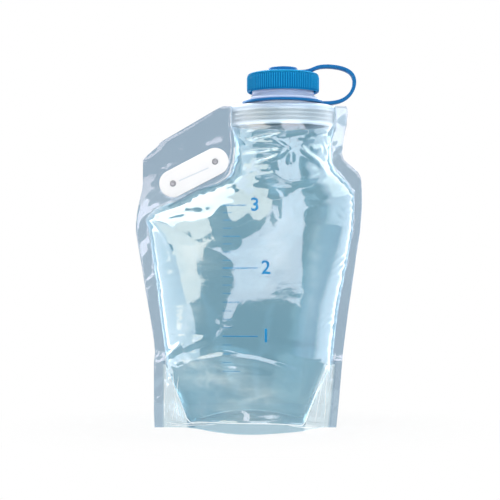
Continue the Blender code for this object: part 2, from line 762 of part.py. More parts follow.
def grip_outline(radius):
    """A slot-shaped outline round both rivets."""
    first, way, square = grip_frame()
    points = []
    for centre, start in ((first + way * GRIP_SPAN, -0.5), (first, 0.5)):
        for k in range(GRIP_END_SIDES + 1):
            angle = math.pi * (start + k / GRIP_END_SIDES)
            points.append(centre + radius * (math.cos(angle) * way + math.sin(angle) * square))
    return points


def slab(name, outline, near_y, far_y, finish=None, helper=False):
    rings = [[(x, y, z) for x, z in outline] for y in (near_y, far_y)]
    return solid(name, *loft(rings), finish, helper=helper)


def round_hole(name, place, radius, near_y, far_y):
    x, z = place
    turns = [2 * math.pi * k / RIVET_SIDES for k in range(RIVET_SIDES)]
    outline = [(x + radius * math.cos(t), z + radius * math.sin(t)) for t in turns]
    return slab(name, outline, near_y, far_y, helper=True)


def slit_cutter(name):
    """The finger slit, a little off the grip's axis as it lies in use."""
    first, _, _ = grip_frame()
    angle = GRIP_ANGLE + SLIT_TURN
    way = np.array([math.cos(angle), math.sin(angle)])
    square = np.array([-way[1], way[0]])
    start = first + way * SLIT_START
    end = start + way * SLIT_LENGTH
    side = square * SLIT_WIDTH / 2
    tip = way * SLIT_WIDTH / 2
    outline = [
        start - side, end - side, end - side / 2 + tip, end + side / 2 + tip,
        end + side, start + side, start + side / 2 - tip, start - side / 2 - tip,
    ]
    reach = CUT_OVERRUN
    return slab(name, outline, -reach, reach, helper=True)


def grip_plate(name, side, cutters, finish):
    near = HALF_SEAL_GAP + FILM_THICK + TOUCH_GAP
    far = near + GRIP_PLATE_THICK
    rings = [
        [(x, side * y, z) for x, z in grip_outline(radius)]
        for radius, y in (
            (GRIP_RADIUS, near), (GRIP_RADIUS, far - GRIP_PLATE_BEVEL),
            (GRIP_RADIUS - GRIP_PLATE_BEVEL, far),
        )
    ]
    body = solid(name, *loft(rings), finish)
    for tool in cutters:
        cut(body, tool)
    sunk = RIVET_HEAD_SUNK + RIVET_HEAD_HEIGHT + TOUCH_GAP
    for k, place in enumerate(rivet_places()):
        pocket = round_hole(
            f"{name}_pocket_{k + 1}", place, RIVET_HEAD_RADIUS + TOUCH_GAP,
            side * (far - sunk), side * (far + CUT_OVERRUN),
        )
        cut(body, pocket)
    return body


def grip_rivet(name, place, finish):
    """A rivet through the grip, with a head sunk in the face of either plate."""
    plate_face = HALF_SEAL_GAP + FILM_THICK + TOUCH_GAP + GRIP_PLATE_THICK
    head_far = plate_face - RIVET_HEAD_SUNK
    head_near = head_far - RIVET_HEAD_HEIGHT
    profile = [
        (RIVET_HEAD_RADIUS, -head_far), (RIVET_HEAD_RADIUS, -head_near),
        (RIVET_SHAFT_RADIUS, -head_near), (RIVET_SHAFT_RADIUS, head_near),
        (RIVET_HEAD_RADIUS, head_near), (RIVET_HEAD_RADIUS, head_far),
    ]
    rings = [
        [(x, y, z) for x, z, _ in circle(radius, 0.0, RIVET_SIDES, place)]
        for radius, y in profile
    ]
    return solid(name, *loft(rings), finish)


def build():
    for old in list(bpy.data.objects):
        bpy.data.objects.remove(old, do_unlink=True)

    film = material("clear_film", (0.55, 0.66, 0.74), 0.08, alpha=0.35)
    fitment_white = material("natural_moulding", (0.72, 0.80, 0.86), 0.35)
    blue = material("blue_moulding", (0.01, 0.22, 0.53), 0.38)
    white = material("white_plate", (0.90, 0.91, 0.91), 0.45)
    grey = material("rivet_grey", (0.30, 0.34, 0.35), 0.35, metallic=1.0)

    front = film_panel("front_panel", -1, film)
    rear = film_panel("rear_panel", 1, film)
    base_gusset("base_gusset", film)
    neck_fitment("neck_fitment", fitment_white)
    cap("screw_cap", blue)
    tether_loop(
        "tether_ring", RING_BORE, RING_RIM, SEAT_Z + TOUCH_GAP, RING_THICK, blue,
    )
    tether_loop("tether_eye", EYE_BORE, EYE_RIM, EYE_FOOT_Z, EYE_THICK, blue)
    tether_strap("tether_strap", blue)

    holes = [
        round_hole(
            f"rivet_hole_{k + 1}", place, RIVET_SHAFT_RADIUS + TOUCH_GAP,
            -CUT_OVERRUN, CUT_OVERRUN,
        )
        for k, place in enumerate(rivet_places())
    ]
    cutters = [*holes, slit_cutter("finger_slit")]
    for panel in (front, rear):
        for tool in cutters:
            cut(panel, tool)
    grip_plate("grip_plate_front", -1, cutters, white)
    grip_plate("grip_plate_rear", 1, cutters, white)
    for end, place in zip(("lower", "upper"), rivet_places()):
        grip_rivet(f"grip_rivet_{end}", place, grey)

    crisp_edges = crease_group()
    for made in bpy.data.objects:
        if not made.hide_render:
            made.modifiers.new("crisp_edges", "NODES").node_group = crisp_edges


build()
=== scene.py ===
# Collapsible water carrier, dressed for its photograph. Metres, +Z up, front towards -Y.
import math

import bmesh
import bpy
import numpy as np
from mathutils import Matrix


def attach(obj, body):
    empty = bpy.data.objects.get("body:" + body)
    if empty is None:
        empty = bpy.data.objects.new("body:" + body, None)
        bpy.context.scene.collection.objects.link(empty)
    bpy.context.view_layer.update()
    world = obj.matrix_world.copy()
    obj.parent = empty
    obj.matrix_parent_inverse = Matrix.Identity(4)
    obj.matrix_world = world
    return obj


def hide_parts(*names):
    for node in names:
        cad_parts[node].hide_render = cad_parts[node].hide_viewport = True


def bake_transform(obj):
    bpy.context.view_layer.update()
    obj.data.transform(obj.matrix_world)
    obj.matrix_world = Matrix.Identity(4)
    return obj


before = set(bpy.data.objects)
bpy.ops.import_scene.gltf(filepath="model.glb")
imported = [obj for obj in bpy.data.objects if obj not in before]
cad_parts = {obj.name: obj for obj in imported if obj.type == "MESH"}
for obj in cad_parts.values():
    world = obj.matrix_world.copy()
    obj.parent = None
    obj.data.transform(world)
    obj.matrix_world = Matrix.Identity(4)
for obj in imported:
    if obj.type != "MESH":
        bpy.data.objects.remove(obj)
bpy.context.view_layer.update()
scene = bpy.context.scene
scene.view_settings.view_transform = "Standard"
print("frame loaded:", len(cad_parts), "nodes")


# The camera stands square to the front, level with the middle of the photograph
view = dict(place=(0.00095, -1.15, 0.1684), frameWidth=0.475, sensor=36.0)


def linkObject(name, data):
    made = bpy.data.objects.new(name, data)
    scene.collection.objects.link(made)
    return made


def placeCamera():
    data = bpy.data.cameras.new("studioCamera")
    data.sensor_width = view["sensor"]
    data.lens = view["sensor"] * -view["place"][1] / view["frameWidth"]
    data.clip_start = 0.01
    data.clip_end = 50.0
    scene.camera = linkObject("studioCamera", data)
    scene.camera.location = view["place"]
    scene.camera.rotation_euler = (math.pi / 2, 0.0, 0.0)


placeCamera()


# Shape of the filled pouch: the same numbers as the solids are made from
pouch = dict(
    width=0.2147, height=0.305, belly=0.049, foot=0.046, gussetTop=0.063,
    floorLift=0.006, floorCrown=0.003, bendReach=0.075,
    baseBlend=0.075, collarBlend=0.045, play=0.0005, gap=0.0003, cadFilm=0.0005,
    bendPower=0.80, roomShare=0.90, seamStart=0.72, seamPower=0.92,
    foldStart=0.68, foldPower=1.0, seamCrown=0.0058, seamDip=0.0015,
    leftEdge=(
        (0, -0.835), (0.05, -0.841), (0.2, -0.841), (0.235, -0.832), (0.275, -0.843),
        (0.35, -0.877), (0.42, -0.912), (0.5, -0.948), (0.57, -0.983), (0.61, -1), (0.635, -1),
        (0.665, -0.991), (0.7, -0.973), (0.735, -0.948), (0.76, -0.94), (0.833, -0.938),
        (0.852, -0.885), (0.87, -0.823), (0.889, -0.779), (0.995, -0.2655), (1, -0.228),
    ),
    rightEdge=(
        (0, 0.772), (0.08, 0.795), (0.16, 0.814), (0.235, 0.832), (0.31, 0.859), (0.38, 0.885),
        (0.46, 0.92), (0.53, 0.947), (0.57, 0.965), (0.61, 0.983), (0.65, 0.992), (0.685, 1),
        (0.74, 1), (0.777, 0.991), (0.796, 0.965), (0.814, 0.903), (0.833, 0.841), (0.852, 0.823),
        (0.9, 0.838), (0.94, 0.864), (0.985, 0.875), (1, 0.862),
    ),
    leftSeal=(
        (0, -0.735), (0.226, -0.736), (0.334, -0.778), (0.459, -0.821), (0.525, -0.85),
        (0.58, -0.869), (0.622, -0.893), (0.648, -0.913), (0.677, -0.835), (0.688, -0.775),
        (0.709, -0.617), (0.74, -0.46), (0.757, -0.292), (0.778, -0.182), (0.792, -0.153),
        (0.824, -0.124), (0.872, -0.118), (0.92, -0.14), (0.936, -0.162), (1, -0.162),
    ),
    rightSeal=(
        (0, 0.68), (0.209, 0.739), (0.311, 0.768), (0.384, 0.796), (0.459, 0.838), (0.554, 0.891),
        (0.62, 0.92), (0.69, 0.932), (0.728, 0.925), (0.76, 0.872), (0.797, 0.764), (0.826, 0.728),
        (0.9, 0.725), (0.936, 0.764), (1, 0.764),
    ),
    fullness=(
        (0, 0.88), (0.12, 0.96), (0.26, 1), (0.44, 0.98), (0.6, 0.92), (0.72, 0.83), (0.82, 0.73),
        (0.93, 0.67), (1, 0.66),
    ),
    footLine=(
        (-1, 0), (-0.817, 0.022), (-0.685, 0.1), (-0.58, 0.24), (-0.448, 0.51), (-0.298, 0.76),
        (-0.12, 0.945), (0.065, 1), (0.223, 0.957), (0.394, 0.84), (0.566, 0.69), (0.697, 0.53),
        (0.803, 0.35), (0.88, 0.18), (0.947, 0.06), (1, 0),
    ),
)
# the neck fitment's sizes stand here because the walls close round its collar
fitment = dict(
    axis=0.0323, length=0.0974, depth=0.064, height=0.0195, wall=0.0016, ribs=5, ribDepth=0.0009,
    deckRise=0.0014, deckBevel=0.0008, seatRadius=0.033, beadRadius=0.0356, beadHeight=0.0022,
    beadRound=0.0006, beadStep=0.0016, shoulderHeight=0.0048, shoulderWall=0.003,
    neckRadius=0.0292, neckWall=0.0026, neckHeight=0.0281, lipRound=0.00055, boreRound=0.001,
    ringThick=0.0022, sides=256, pitch=0.0042, ridge=0.0019, ridgeBase=0.0019, ridgeCrest=0.0010,
    ridgeEnd=0.08, lipDrop=0.0036, turns=1.5, threadStep=0.0003,
)
collarFoot = pouch["height"] - fitment["height"]
seatZ = pouch["height"] + fitment["deckRise"]
beadZ = seatZ + fitment["ringThick"] + 2 * pouch["gap"]
shoulderZ = beadZ + fitment["beadHeight"]
lipZ = pouch["height"] + fitment["neckHeight"]


def seamLine(name, z):
    heights, places = np.array(pouch[name]).T
    return np.interp(z, heights * pouch["height"], places * pouch["width"] / 2)


baseMiddle = float(seamLine("leftSeal", 0) + seamLine("rightSeal", 0)) / 2
baseHalf = float(seamLine("rightSeal", 0) - seamLine("leftSeal", 0)) / 2


def easeStep(value):
    t = np.clip(value, 0, 1)
    return t * t * (3 - 2 * t)


def easeCurve(value, pairs):
    xs, ys = np.array(pairs).T
    slopes = np.gradient(ys, xs)
    slopes[0] = slopes[-1] = 0
    value = np.clip(value, xs[0], xs[-1])
    k = np.clip(np.searchsorted(xs, value) - 1, 0, len(xs) - 2)
    step = xs[k + 1] - xs[k]
    t = (value - xs[k]) / step
    rise = ys[k + 1] - ys[k]
    turnIn, turnOut = slopes[k] * step - rise, rise - slopes[k + 1] * step
    return ys[k] + rise * t + t * (1 - t) * (turnIn * (1 - t) + turnOut * t)


def alongPath(x, z, path):
    # distance of each point from a polyline, how far along it the nearest spot
    # lies, and the share of the whole path that this is
    path = np.asarray(path, float)
    starts, steps = path[:-1], np.diff(path, axis=0)
    squares = (steps**2).sum(1)
    lengths = np.sqrt(squares)
    before = np.concatenate([[0], np.cumsum(lengths)[:-1]])
    best = np.full(np.shape(x), np.inf)
    place = np.zeros(np.shape(x))
    for start, step, square, length, passed in zip(starts, steps, squares, lengths, before):
        t = ((x - start[0]) * step[0] + (z - start[1]) * step[1]) / square
        t = np.clip(t, 0, 1)
        gap = np.hypot(x - start[0] - t * step[0], z - start[1] - t * step[1])
        nearer = gap < best
        best = np.where(nearer, gap, best)
        place = np.where(nearer, passed + t * length, place)
    return best, place, place / lengths.sum()


def sealPath(name):
    return [(place * pouch["width"] / 2, height * pouch["height"]) for height, place in pouch[name]]


def insideSeals(x, z):
    # how far a point lies inside both side seals, below zero outside them
    return np.minimum(x - seamLine("leftSeal", z), seamLine("rightSeal", z) - x)


def sealGap(x, z):
    # distance of a point from the nearer side seal
    return np.minimum(*(alongPath(x, z, sealPath(name))[0] for name in ("leftSeal", "rightSeal")))


def bendShare(distance, reach):
    t = np.clip(distance / reach, 0, 1)
    return (1 - (1 - t) ** 2) ** pouch["bendPower"]


def wrapDepth(x, left, right):
    half, side = (right - left) / 2, fitment["depth"] / 2 + pouch["play"]
    arc = (half**2 + side**2) / (2 * side)
    inside = np.clip(arc**2 - (x - (left + right) / 2) ** 2, 0, None)
    return np.clip(np.sqrt(inside) - (arc - side), 0, None)


def halfDepth(x, z):
    x, z = np.broadcast_arrays(np.asarray(x, float), np.asarray(z, float))
    left, right = seamLine("leftSeal", z), seamLine("rightSeal", z)
    room = np.minimum(pouch["bendReach"], pouch["roomShare"] * (right - left) / 2)
    full = pouch["belly"] * easeCurve(z / pouch["height"], pouch["fullness"])
    swell = full * bendShare(alongPath(x, z, sealPath("leftSeal"))[0], room)
    swell = swell * bendShare(alongPath(x, z, sealPath("rightSeal"))[0], room)
    swell = np.where((x > left) & (x < right), swell, 0)
    foot = pouch["foot"] * easeCurve((x - baseMiddle) / baseHalf, pouch["footLine"])
    rise = easeStep(z / pouch["baseBlend"])
    swell = foot * (1 - rise) + swell * rise
    close = easeStep((z - collarFoot) / pouch["collarBlend"] + 1)
    return swell * (1 - close) + wrapDepth(x, left, right) * close


def cornerShare(x, start):
    start = start * baseHalf
    return np.clip((abs(x - baseMiddle) - start) / (baseHalf - start), 0, 1)


def seamHeight(x):
    # where the base film's welded edge runs on the wall
    seam = cornerShare(x, pouch["seamStart"]) ** pouch["seamPower"]
    crown = pouch["seamCrown"] * (1 - np.clip(abs(x - baseMiddle) / (0.75 * baseHalf), 0, 1) ** 2)
    low = pouch["floorLift"] - pouch["seamDip"] + crown
    return low + (pouch["gussetTop"] - pouch["floorCrown"] - low) * seam


def seamRoute():
    places = np.linspace(baseMiddle - baseHalf * 0.985, baseMiddle + baseHalf * 0.985, 41)
    return np.column_stack([places, seamHeight(places)])


def gussetRoom(x, z):
    fade = easeStep((z - seamHeight(x) - 0.001) / 0.012)
    return (pouch["cadFilm"] + pouch["gap"]) * (1 - fade)


# Folds and puckers in the film. Each fold is a height, a width and a line of
# (x, z) places in millimetres on the wall; a height below zero is a dent.
folds = dict(
    front=(
        (1.5, 2.6, ((-3.9, 271), (-0.9, 276.6), (10.2, 280.6), (25.9, 280.7), (44, 280.6))),
        (1.4, 2.2, ((-3.9, 270.4), (1.9, 269.5), (11.1, 271.2), (25.9, 274.5), (42.5, 279.2))),
        (-1.5, 3, ((2, 273.5), (14, 276.3), (30, 277.8))),
        (1.5, 2, ((-1.9, 267), (11.1, 267.6), (23.1, 266.7), (36, 262))),
        (1.3, 1.8, ((17.1, 273.3), (26.8, 268.6), (36, 263))),
        (-1.4, 2.6, ((0, 262), (14, 262.8), (28, 263.2))),
        (1.4, 2.2, ((-2.1, 256.4), (11.1, 258), (23.1, 259.4), (36, 261.2))),
        (1.5, 2.4, ((3.7, 247.3), (17.1, 251.7), (29, 256.4), (36, 260.6))),
        (-1.2, 2.6, ((6, 252.5), (17, 255), (27, 258))),
        (1.2, 2.6, ((9.3, 245.1), (14.8, 243.3), (20.3, 243.9))),
        (1.3, 1.8, (
            (3.7, 242.6), (11.1, 237.3), (23, 238.8), (29, 234.5), (39.5, 230.9), (61.7, 235.1),
            (67, 239.1),
        )),
        (1.6, 2.4, ((45.3, 267.2), (51.8, 259), (64.3, 250.3), (72, 239.4))),
        (1.2, 1.9, ((45.3, 267.2), (59.5, 271.6), (62, 274.3))),
        (1.2, 2.2, ((57.5, 274.8), (67.3, 277.7), (76.4, 281.1))),
        (-1.2, 2.8, ((35.1, 270.8), (42.5, 273.4), (51.9, 275.4))),
        (1, 3.2, ((-9, 281), (-8.6, 268), (-7, 255), (-6, 244))),
        (1, 3, ((75.5, 281), (75.5, 268), (74, 254))),
        (1, 2.8, ((38.7, 259.6), (38.7, 253.1), (37.7, 246.6))),
        (1.1, 2.8, ((56, 263), (62, 262), (70, 264))),
        (1.2, 3.4, ((-97.4, 197.5), (-87.2, 192.8), (-77.3, 182.4), (-72, 165))),
        (-0.9, 3.4, ((-84, 198), (-62, 204), (-40, 204))),
        (1, 4, ((-74, 196), (-52, 194.5), (-34, 199), (-26, 208))),
        (1.8, 2.6, ((-78.3, 65.7), (-69.2, 74.9), (-59.2, 84.3))),
        (2.2, 3.6, ((-62, 73), (-53.5, 80.5), (-42.1, 86.5))),
        (-1.4, 2.4, ((-66, 71), (-57, 75.4), (-46, 79))),
        (1.5, 2.6, (
            (-54.5, 65.8), (-44.1, 67.4), (-32.3, 69.4), (-23.6, 71.9), (5.5, 68.4), (32, 60.6),
            (46, 55),
        )),
        (-0.8, 4, ((-36, 64), (-14, 64.5), (10, 61.5), (30, 55))),
        (0.9, 1.6, ((-70, 65), (-66, 62.5), (-62, 65.5), (-58, 62), (-53, 65))),
        (0.8, 1.5, ((-72, 60), (-66, 57.5), (-61, 60.5), (-55, 57))),
    ),
    rear=(
        (1.3, 2.6, ((-4, 276), (10, 270), (26, 268), (44, 272))),
        (1.2, 2.4, ((2, 262), (18, 266), (36, 260), (52, 256))),
        (-1.2, 3, ((20, 277), (38, 274), (60, 276))),
        (1.3, 2.4, ((70, 272), (56, 262), (46, 250), (40, 236))),
        (1, 2.8, ((0, 246), (14, 250), (26, 244))),
        (1.2, 3.4, ((-97, 197.5), (-84, 190), (-74, 176))),
        (1.3, 3.2, ((78, 66), (62, 74), (40, 72), (16, 66))),
        (1.4, 3, ((-78, 65), (-62, 70), (-44, 82))),
        (-1, 3.6, ((-60, 62), (-30, 68), (0, 64))),
    ),
)
# small marks pressed into the side seals by the welding bars
weldMarks = (
    (0.35, 0.5, ((79.5, 63.2), (90, 63))),
    (0.45, 0.6, ((76, 44.2), (79.6, 44.2))),
    (0.45, 0.6, ((-80, 43.4), (-76.6, 43.4))),
    (0.35, 0.5, ((-89, 72), (-84.5, 70.2))),
    (0.3, 0.8, ((-99.5, 250), (-92, 251.2))),
    (0.3, 0.8, ((-99.5, 246.2), (-90.5, 247))),
    (0.3, 0.8, ((-99.5, 242.6), (-92.5, 243.4))),
)
puckers = dict(
    edgeHeight=0.00030, edgeWave=0.0085, edgeReach=0.0070, margin=0.0009, ease=0.00009, near=0.00005,
    lean=0.0012, bead=0.00055, beadWidth=0.00085, sealFade=0.007, collarFade=0.006, baseFade=0.02,
    pressed=0.00025, groove=0.00070, seeds=dict(front=3, rear=17), gripClear=0.0145,
    corner=(-0.094, 0.258), cornerReach=0.020, cornerCalm=0.42,
)


# the walls belly out a little low down and draw in above, as water hangs in them
leanLine = (
    (0, 0), (0.06, 0.2), (0.09, 0.9), (0.113, 1.1), (0.15, 0), (0.195, -1.2), (0.235, -0.4),
    (0.27, 0),
)


def slowWaves(x, z, seed, longest, count):
    # a gentle unevenness of the film, as a sum of a few wide waves, from -1 to 1
    chance = np.random.default_rng(seed)
    total = np.zeros(np.shape(x))
    for k in range(count):
        length = longest * chance.uniform(0.45, 1.0)
        turn = chance.uniform(0, math.pi)
        phase = chance.uniform(0, 2 * math.pi)
        total += np.sin(2 * math.pi * (x * math.cos(turn) + z * math.sin(turn)) / length + phase)
    return total / count


def foldHeight(x, z, side):
    total = np.zeros(np.shape(x))
    for height, width, line in folds[side]:
        gap, _, share = alongPath(x, z, np.array(line) / 1000)
        crest = np.sqrt(gap**2 + 0.0005**2) - 0.0005
        run = easeStep(share / 0.25) * easeStep((1 - share) / 0.25)
        total += height / 1000 * (0.25 + 0.75 * run) * np.exp(-((crest * 1150 / width) ** 1.6))
    return total


def puckerHeight(x, z, side):
    # short folds that run inwards from the seals
    total = np.zeros(np.shape(x))
    for k, name in enumerate(("leftSeal", "rightSeal")):
        gap, place, _ = alongPath(x, z, sealPath(name))
        bent = place / puckers["edgeWave"] + 0.9 * slowWaves(x, z, 40 + k + len(side), 0.03, 3)
        fade = np.exp(-gap / puckers["edgeReach"]) * (0.5 + 0.5 * slowWaves(x, z, 50 + k, 0.06, 3))
        total += puckers["edgeHeight"] * 2 * np.sin(2 * math.pi * bent) * fade
    return total


def wallLift(x, z, side):
    # how far the wall stands off its smooth shape, along its normal
    inside, nearSeal = insideSeals(x, z), sealGap(x, z)
    free = np.where(inside > 0, easeStep(nearSeal / puckers["sealFade"]), 0)
    free = free * easeStep((collarFoot - 0.0006 - z) / puckers["collarFade"])
    low = easeStep((z - seamHeight(x) - 0.003) / puckers["baseFade"])
    seed = puckers["seeds"][side]
    wide = puckers["ease"] * slowWaves(x, z, seed, 0.11, 5)
    near = puckers["near"] * slowWaves(x, z, seed + 1, 0.03, 5) * easeStep((z - 0.20) / 0.06)
    lean = puckers["lean"] * easeCurve(z, leanLine) * easeStep((nearSeal - 0.008) / 0.03)
    lift = (foldHeight(x, z, side) + wide + near + lean) * (0.12 + 0.88 * low)
    bead = puckers["bead"] * np.exp(-((alongPath(x, z, seamRoute())[0] / puckers["beadWidth"]) ** 2))
    bead = bead * easeStep((inside - 0.001) / 0.006)
    short = puckerHeight(x, z, side) * easeStep((collarFoot - 0.001 - z) / 0.008) * (0.25 + 0.75 * low)
    return free * lift + collarHug(x, z) + bead + np.where(inside > 0, easeStep(nearSeal / 0.0015), 0) * short


def onCollar(z):
    # 1 where the film lies on the collar
    return easeStep((z - collarFoot - 0.0004) / 0.0012)


def collarHug(x, z):
    # the film is welded down over the collar, and into its grooves
    rib = np.abs(np.sin(math.pi * (z - collarFoot) * fitment["ribs"] / fitment["height"]))
    depth = puckers["pressed"] + puckers["groove"] * (1 - rib**0.6)
    return -onCollar(z) * easeStep(insideSeals(x, z) / 0.006) * depth


def marginWave(x, z):
    # both walls lie together in the seals and wave to and fro as one sheet
    edge = np.minimum(x - seamLine("leftEdge", z), seamLine("rightEdge", z) - x)
    off = easeStep(-insideSeals(x, z) / 0.004)
    off = off * easeStep((alongPath(x, z, gripLine())[0] - puckers["gripClear"]) / 0.006)
    off = off * easeStep((pouch["height"] - 0.004 - z) / 0.02)
    wave = slowWaves(x, z, 71, 0.05, 5) + 0.16 * slowWaves(x, z, 72, 0.014, 4)
    # the free corner beside the grip waves most
    (cornerX, cornerZ), reach, calm = puckers["corner"], puckers["cornerReach"], puckers["cornerCalm"]
    corner = np.exp(-(((x - cornerX) / reach) ** 2) - ((z - cornerZ) / reach) ** 2)
    wave = puckers["margin"] * (calm + (1 - calm) * corner) * off * wave
    wave = wave * (0.4 + 0.6 * easeStep(edge / 0.003))
    for height, width, line in weldMarks:
        gap, _, _ = alongPath(x, z, np.array(line) / 1000)
        wave = wave - height / 1000 * np.exp(-((gap * 1000 / width) ** 2))
    return wave


# The grip: two plates held by two rivets
grip = dict(
    span=0.045, radius=0.013, plate=0.0016, angle=27.5, place=(-0.486, 0.793), edgeRound=0.00055,
    endSides=48, slitLength=0.030, slitWidth=0.0011, slitStart=0.0065, slitTurn=-3.7, slitLine=0.0007,
    rivetRadius=0.0029, rivetHead=0.0006, rivetShank=0.0014, rivetSunk=0.0001, seatPlay=0.00022,
    seatDepth=0.0009, slitCut=0.01, seatCut=0.004,
)


def wayAt(degrees):
    angle = math.radians(degrees)
    return np.array([math.cos(angle), math.sin(angle)])


plateFoot = pouch["gap"] / 2 + pouch["cadFilm"] + pouch["gap"]
plateFace = plateFoot + grip["plate"]


def gripFrame():
    # the lower rivet's place and the way to the upper one
    middle = np.multiply(grip["place"], (pouch["width"] / 2, pouch["height"]))
    way = wayAt(grip["angle"])
    return middle - way * grip["span"] / 2, way


def gripLine():
    first, way = gripFrame()
    return [tuple(first), tuple(first + way * grip["span"])]


# Mesh tools
def rawPiece(name, points, edges=(), faces=()):
    mesh = bpy.data.meshes.new(name)
    mesh.from_pydata(points, edges, faces)
    return linkObject(name, mesh)


def makePiece(name, points, faces, finish):
    piece = rawPiece(name, np.asarray(points, float).tolist(), [], [list(map(int, f)) for f in faces])
    piece.data.validate()
    turnOutwards(piece)
    piece.data.shade_smooth()
    if finish:
        piece.data.materials.append(finish)
    return piece


def turnOutwards(piece):
    working = bmesh.new()
    working.from_mesh(piece.data)
    bmesh.ops.recalc_face_normals(working, faces=working.faces)
    if working.calc_volume(signed=True) < 0:
        bmesh.ops.reverse_faces(working, faces=working.faces)
    working.to_mesh(piece.data)
    working.free()


def sheetFaces(rows, columns, start=0, flip=False):
    i, j = np.meshgrid(np.arange(rows - 1), np.arange(columns - 1), indexing="ij")
    a = start + i * columns + j
    quads = np.stack([a, a + 1, a + columns + 1, a + columns], -1).reshape(-1, 4)
    return quads[:, ::-1] if flip else quads


def sheetRim(rows, columns, offset):
    rim = list(range(columns))
    rim += [i * columns + columns - 1 for i in range(1, rows)]
    rim += [(rows - 1) * columns + j for j in range(columns - 2, -1, -1)]
    rim += [i * columns for i in range(rows - 2, 0, -1)]
    return [(b, a, a + offset, b + offset) for a, b in zip(rim, rim[1:] + rim[:1])]


def gridNormals(grid):
    normals = np.cross(np.gradient(grid, axis=0), np.gradient(grid, axis=1))
    return normals / np.linalg.norm(normals, axis=-1, keepdims=True)


def doubleSheet(name, near, far, finish):
    rows, columns = near.shape[:2]
    count = rows * columns
    points = np.concatenate([near.reshape(-1, 3), far.reshape(-1, 3)])
    faces = [
        *sheetFaces(rows, columns), *sheetFaces(rows, columns, count, True),
        *sheetRim(rows, columns, count),
    ]
    piece = makePiece(name, points, faces, finish)
    border = np.ones((2, rows, columns), bool)
    border[:, 1:-1, 1:-1] = False
    border = border.reshape(-1)
    ends = np.empty(len(piece.data.edges) * 2, np.int32)
    piece.data.edges.foreach_get("vertices", ends)
    ends = ends.reshape(-1, 2)
    crisp = border[ends].all(1) & ((ends < count).sum(1) != 1)
    layer = piece.data.attributes.new("sharp_edge", "BOOLEAN", "EDGE")
    layer.data.foreach_set("value", crisp)
    return piece


def latheRows(rows, joined, poles=(False, False)):
    # skin over rings of equally many points; poles close the first or last ring
    # onto its middle
    points = np.concatenate(rows)
    count, sides = len(rows), len(rows[0])
    here, beside = np.arange(sides), (np.arange(sides) + 1) % sides
    faces = []
    for i in range(count if joined else count - 1):
        low, high = i * sides, (i + 1) % count * sides
        faces += np.stack([low + here, low + beside, high + beside, high + here], -1).tolist()
    for closed, row in zip(poles, (0, count - 1)):
        if closed:
            low = row * sides
            faces += [(low + k, low + (k + 1) % sides, len(points)) for k in range(sides)]
            points = np.concatenate([points, rows[row].mean(0)[None]])
    return points, faces


def closedStack(rows):
    # skin over the rows, with a flat face at each end
    points, faces = latheRows(rows, False)
    sides = len(rows[0])
    last = len(points) - sides
    return points, [*faces, list(range(sides)), list(range(last, last + sides))]


def evenTurns(sides):
    return 2 * math.pi * np.arange(sides) / sides


def roundRow(radius, z, sides):
    # a level ring of points round the neck's axis
    turns = evenTurns(sides)
    return np.stack([
        fitment["axis"] + radius * np.cos(turns), radius * np.sin(turns), np.full(sides, z),
    ], -1)


def roundedCorner(corner, before, after, radius, steps=4):
    # points of an arc that replaces a corner of a (radius, height) profile
    corner, before, after = (np.array(p, float) for p in (corner, before, after))
    toBefore = (before - corner) / np.linalg.norm(before - corner)
    toAfter = (after - corner) / np.linalg.norm(after - corner)
    start, end = corner + toBefore * radius, corner + toAfter * radius
    ts = np.linspace(0, 1, steps + 1)[:, None]
    return (1 - ts) ** 2 * start + 2 * ts * (1 - ts) * corner + ts**2 * end


def smoothProfile(corners):
    # corners are (radius, height, rounding)
    points = []
    for k, (r, z, rounding) in enumerate(corners):
        if not rounding or k in (0, len(corners) - 1):
            points.append(np.array([(r, z)]))
        else:
            points.append(roundedCorner((r, z), corners[k - 1][:2], corners[k + 1][:2], rounding))
    return np.concatenate(points)


def turnedRows(corners, sides):
    return [roundRow(r, z, sides) for r, z in smoothProfile(corners)]


# Shader groups that several finishes share
socketKinds = dict(
    c="NodeSocketColor", f="NodeSocketFloat", v="NodeSocketVector", i="NodeSocketInt",
    m="NodeSocketMaterial", g="NodeSocketGeometry", o="NodeSocketObject",
)


def newGroup(name, inputs, outputs, family="Shader"):
    # a group with named sockets; gives it with its start's outputs and its end's inputs
    group = bpy.data.node_groups.new(name, family + "NodeTree")
    for way, sockets in (("INPUT", inputs), ("OUTPUT", outputs)):
        for label, kind, *value in sockets:
            socket = group.interface.new_socket(label, in_out=way, socket_type=socketKinds[kind])
            if value:
                socket.default_value = value[0]
    return group, group.nodes.new("NodeGroupInput").outputs, group.nodes.new("NodeGroupOutput").inputs


def fill(tree, socket, value):
    # an input takes a constant or another node's output, and a tone gets its alpha here
    if hasattr(value, "links"):
        tree.links.new(value, socket)
    elif socket.type == "RGBA" and len(value) == 3:
        socket.default_value = (*value, 1.0)
    else:
        socket.default_value = value


def feed(tree, node, *values, **named):
    # values fill the inputs in order; a keyword names a property, or an input where it
    # starts with a capital
    for key, value in named.items():
        if key[0].islower():
            setattr(node, key, value)
        else:
            fill(tree, node.inputs[key.replace("_", " ")], value)
    for socket, value in zip(node.inputs, values):
        fill(tree, socket, value)
    return node


def addNode(tree, kind, *values, **named):
    return feed(tree, tree.nodes.new(kind), *values, **named)


def shaderNode(tree, kind, *values, **named):
    return addNode(tree, "ShaderNode" + kind, *values, **named).outputs


def placeGroup(tree, group, **named):
    return shaderNode(tree, "Group", node_tree=group, **named)


def shapeNode(tree, kind, *values, **named):
    return addNode(tree, "GeometryNode" + kind, *values, **named).outputs[0]


def calc(tree, operation, *values):
    # one maths step
    return shaderNode(tree, "Math", *values, operation=operation)[0]


def calcVector(tree, operation, *values):
    return shaderNode(tree, "VectorMath", *values, operation=operation)


def objectPlace(tree):
    return shaderNode(tree, "TexCoord")["Object"]


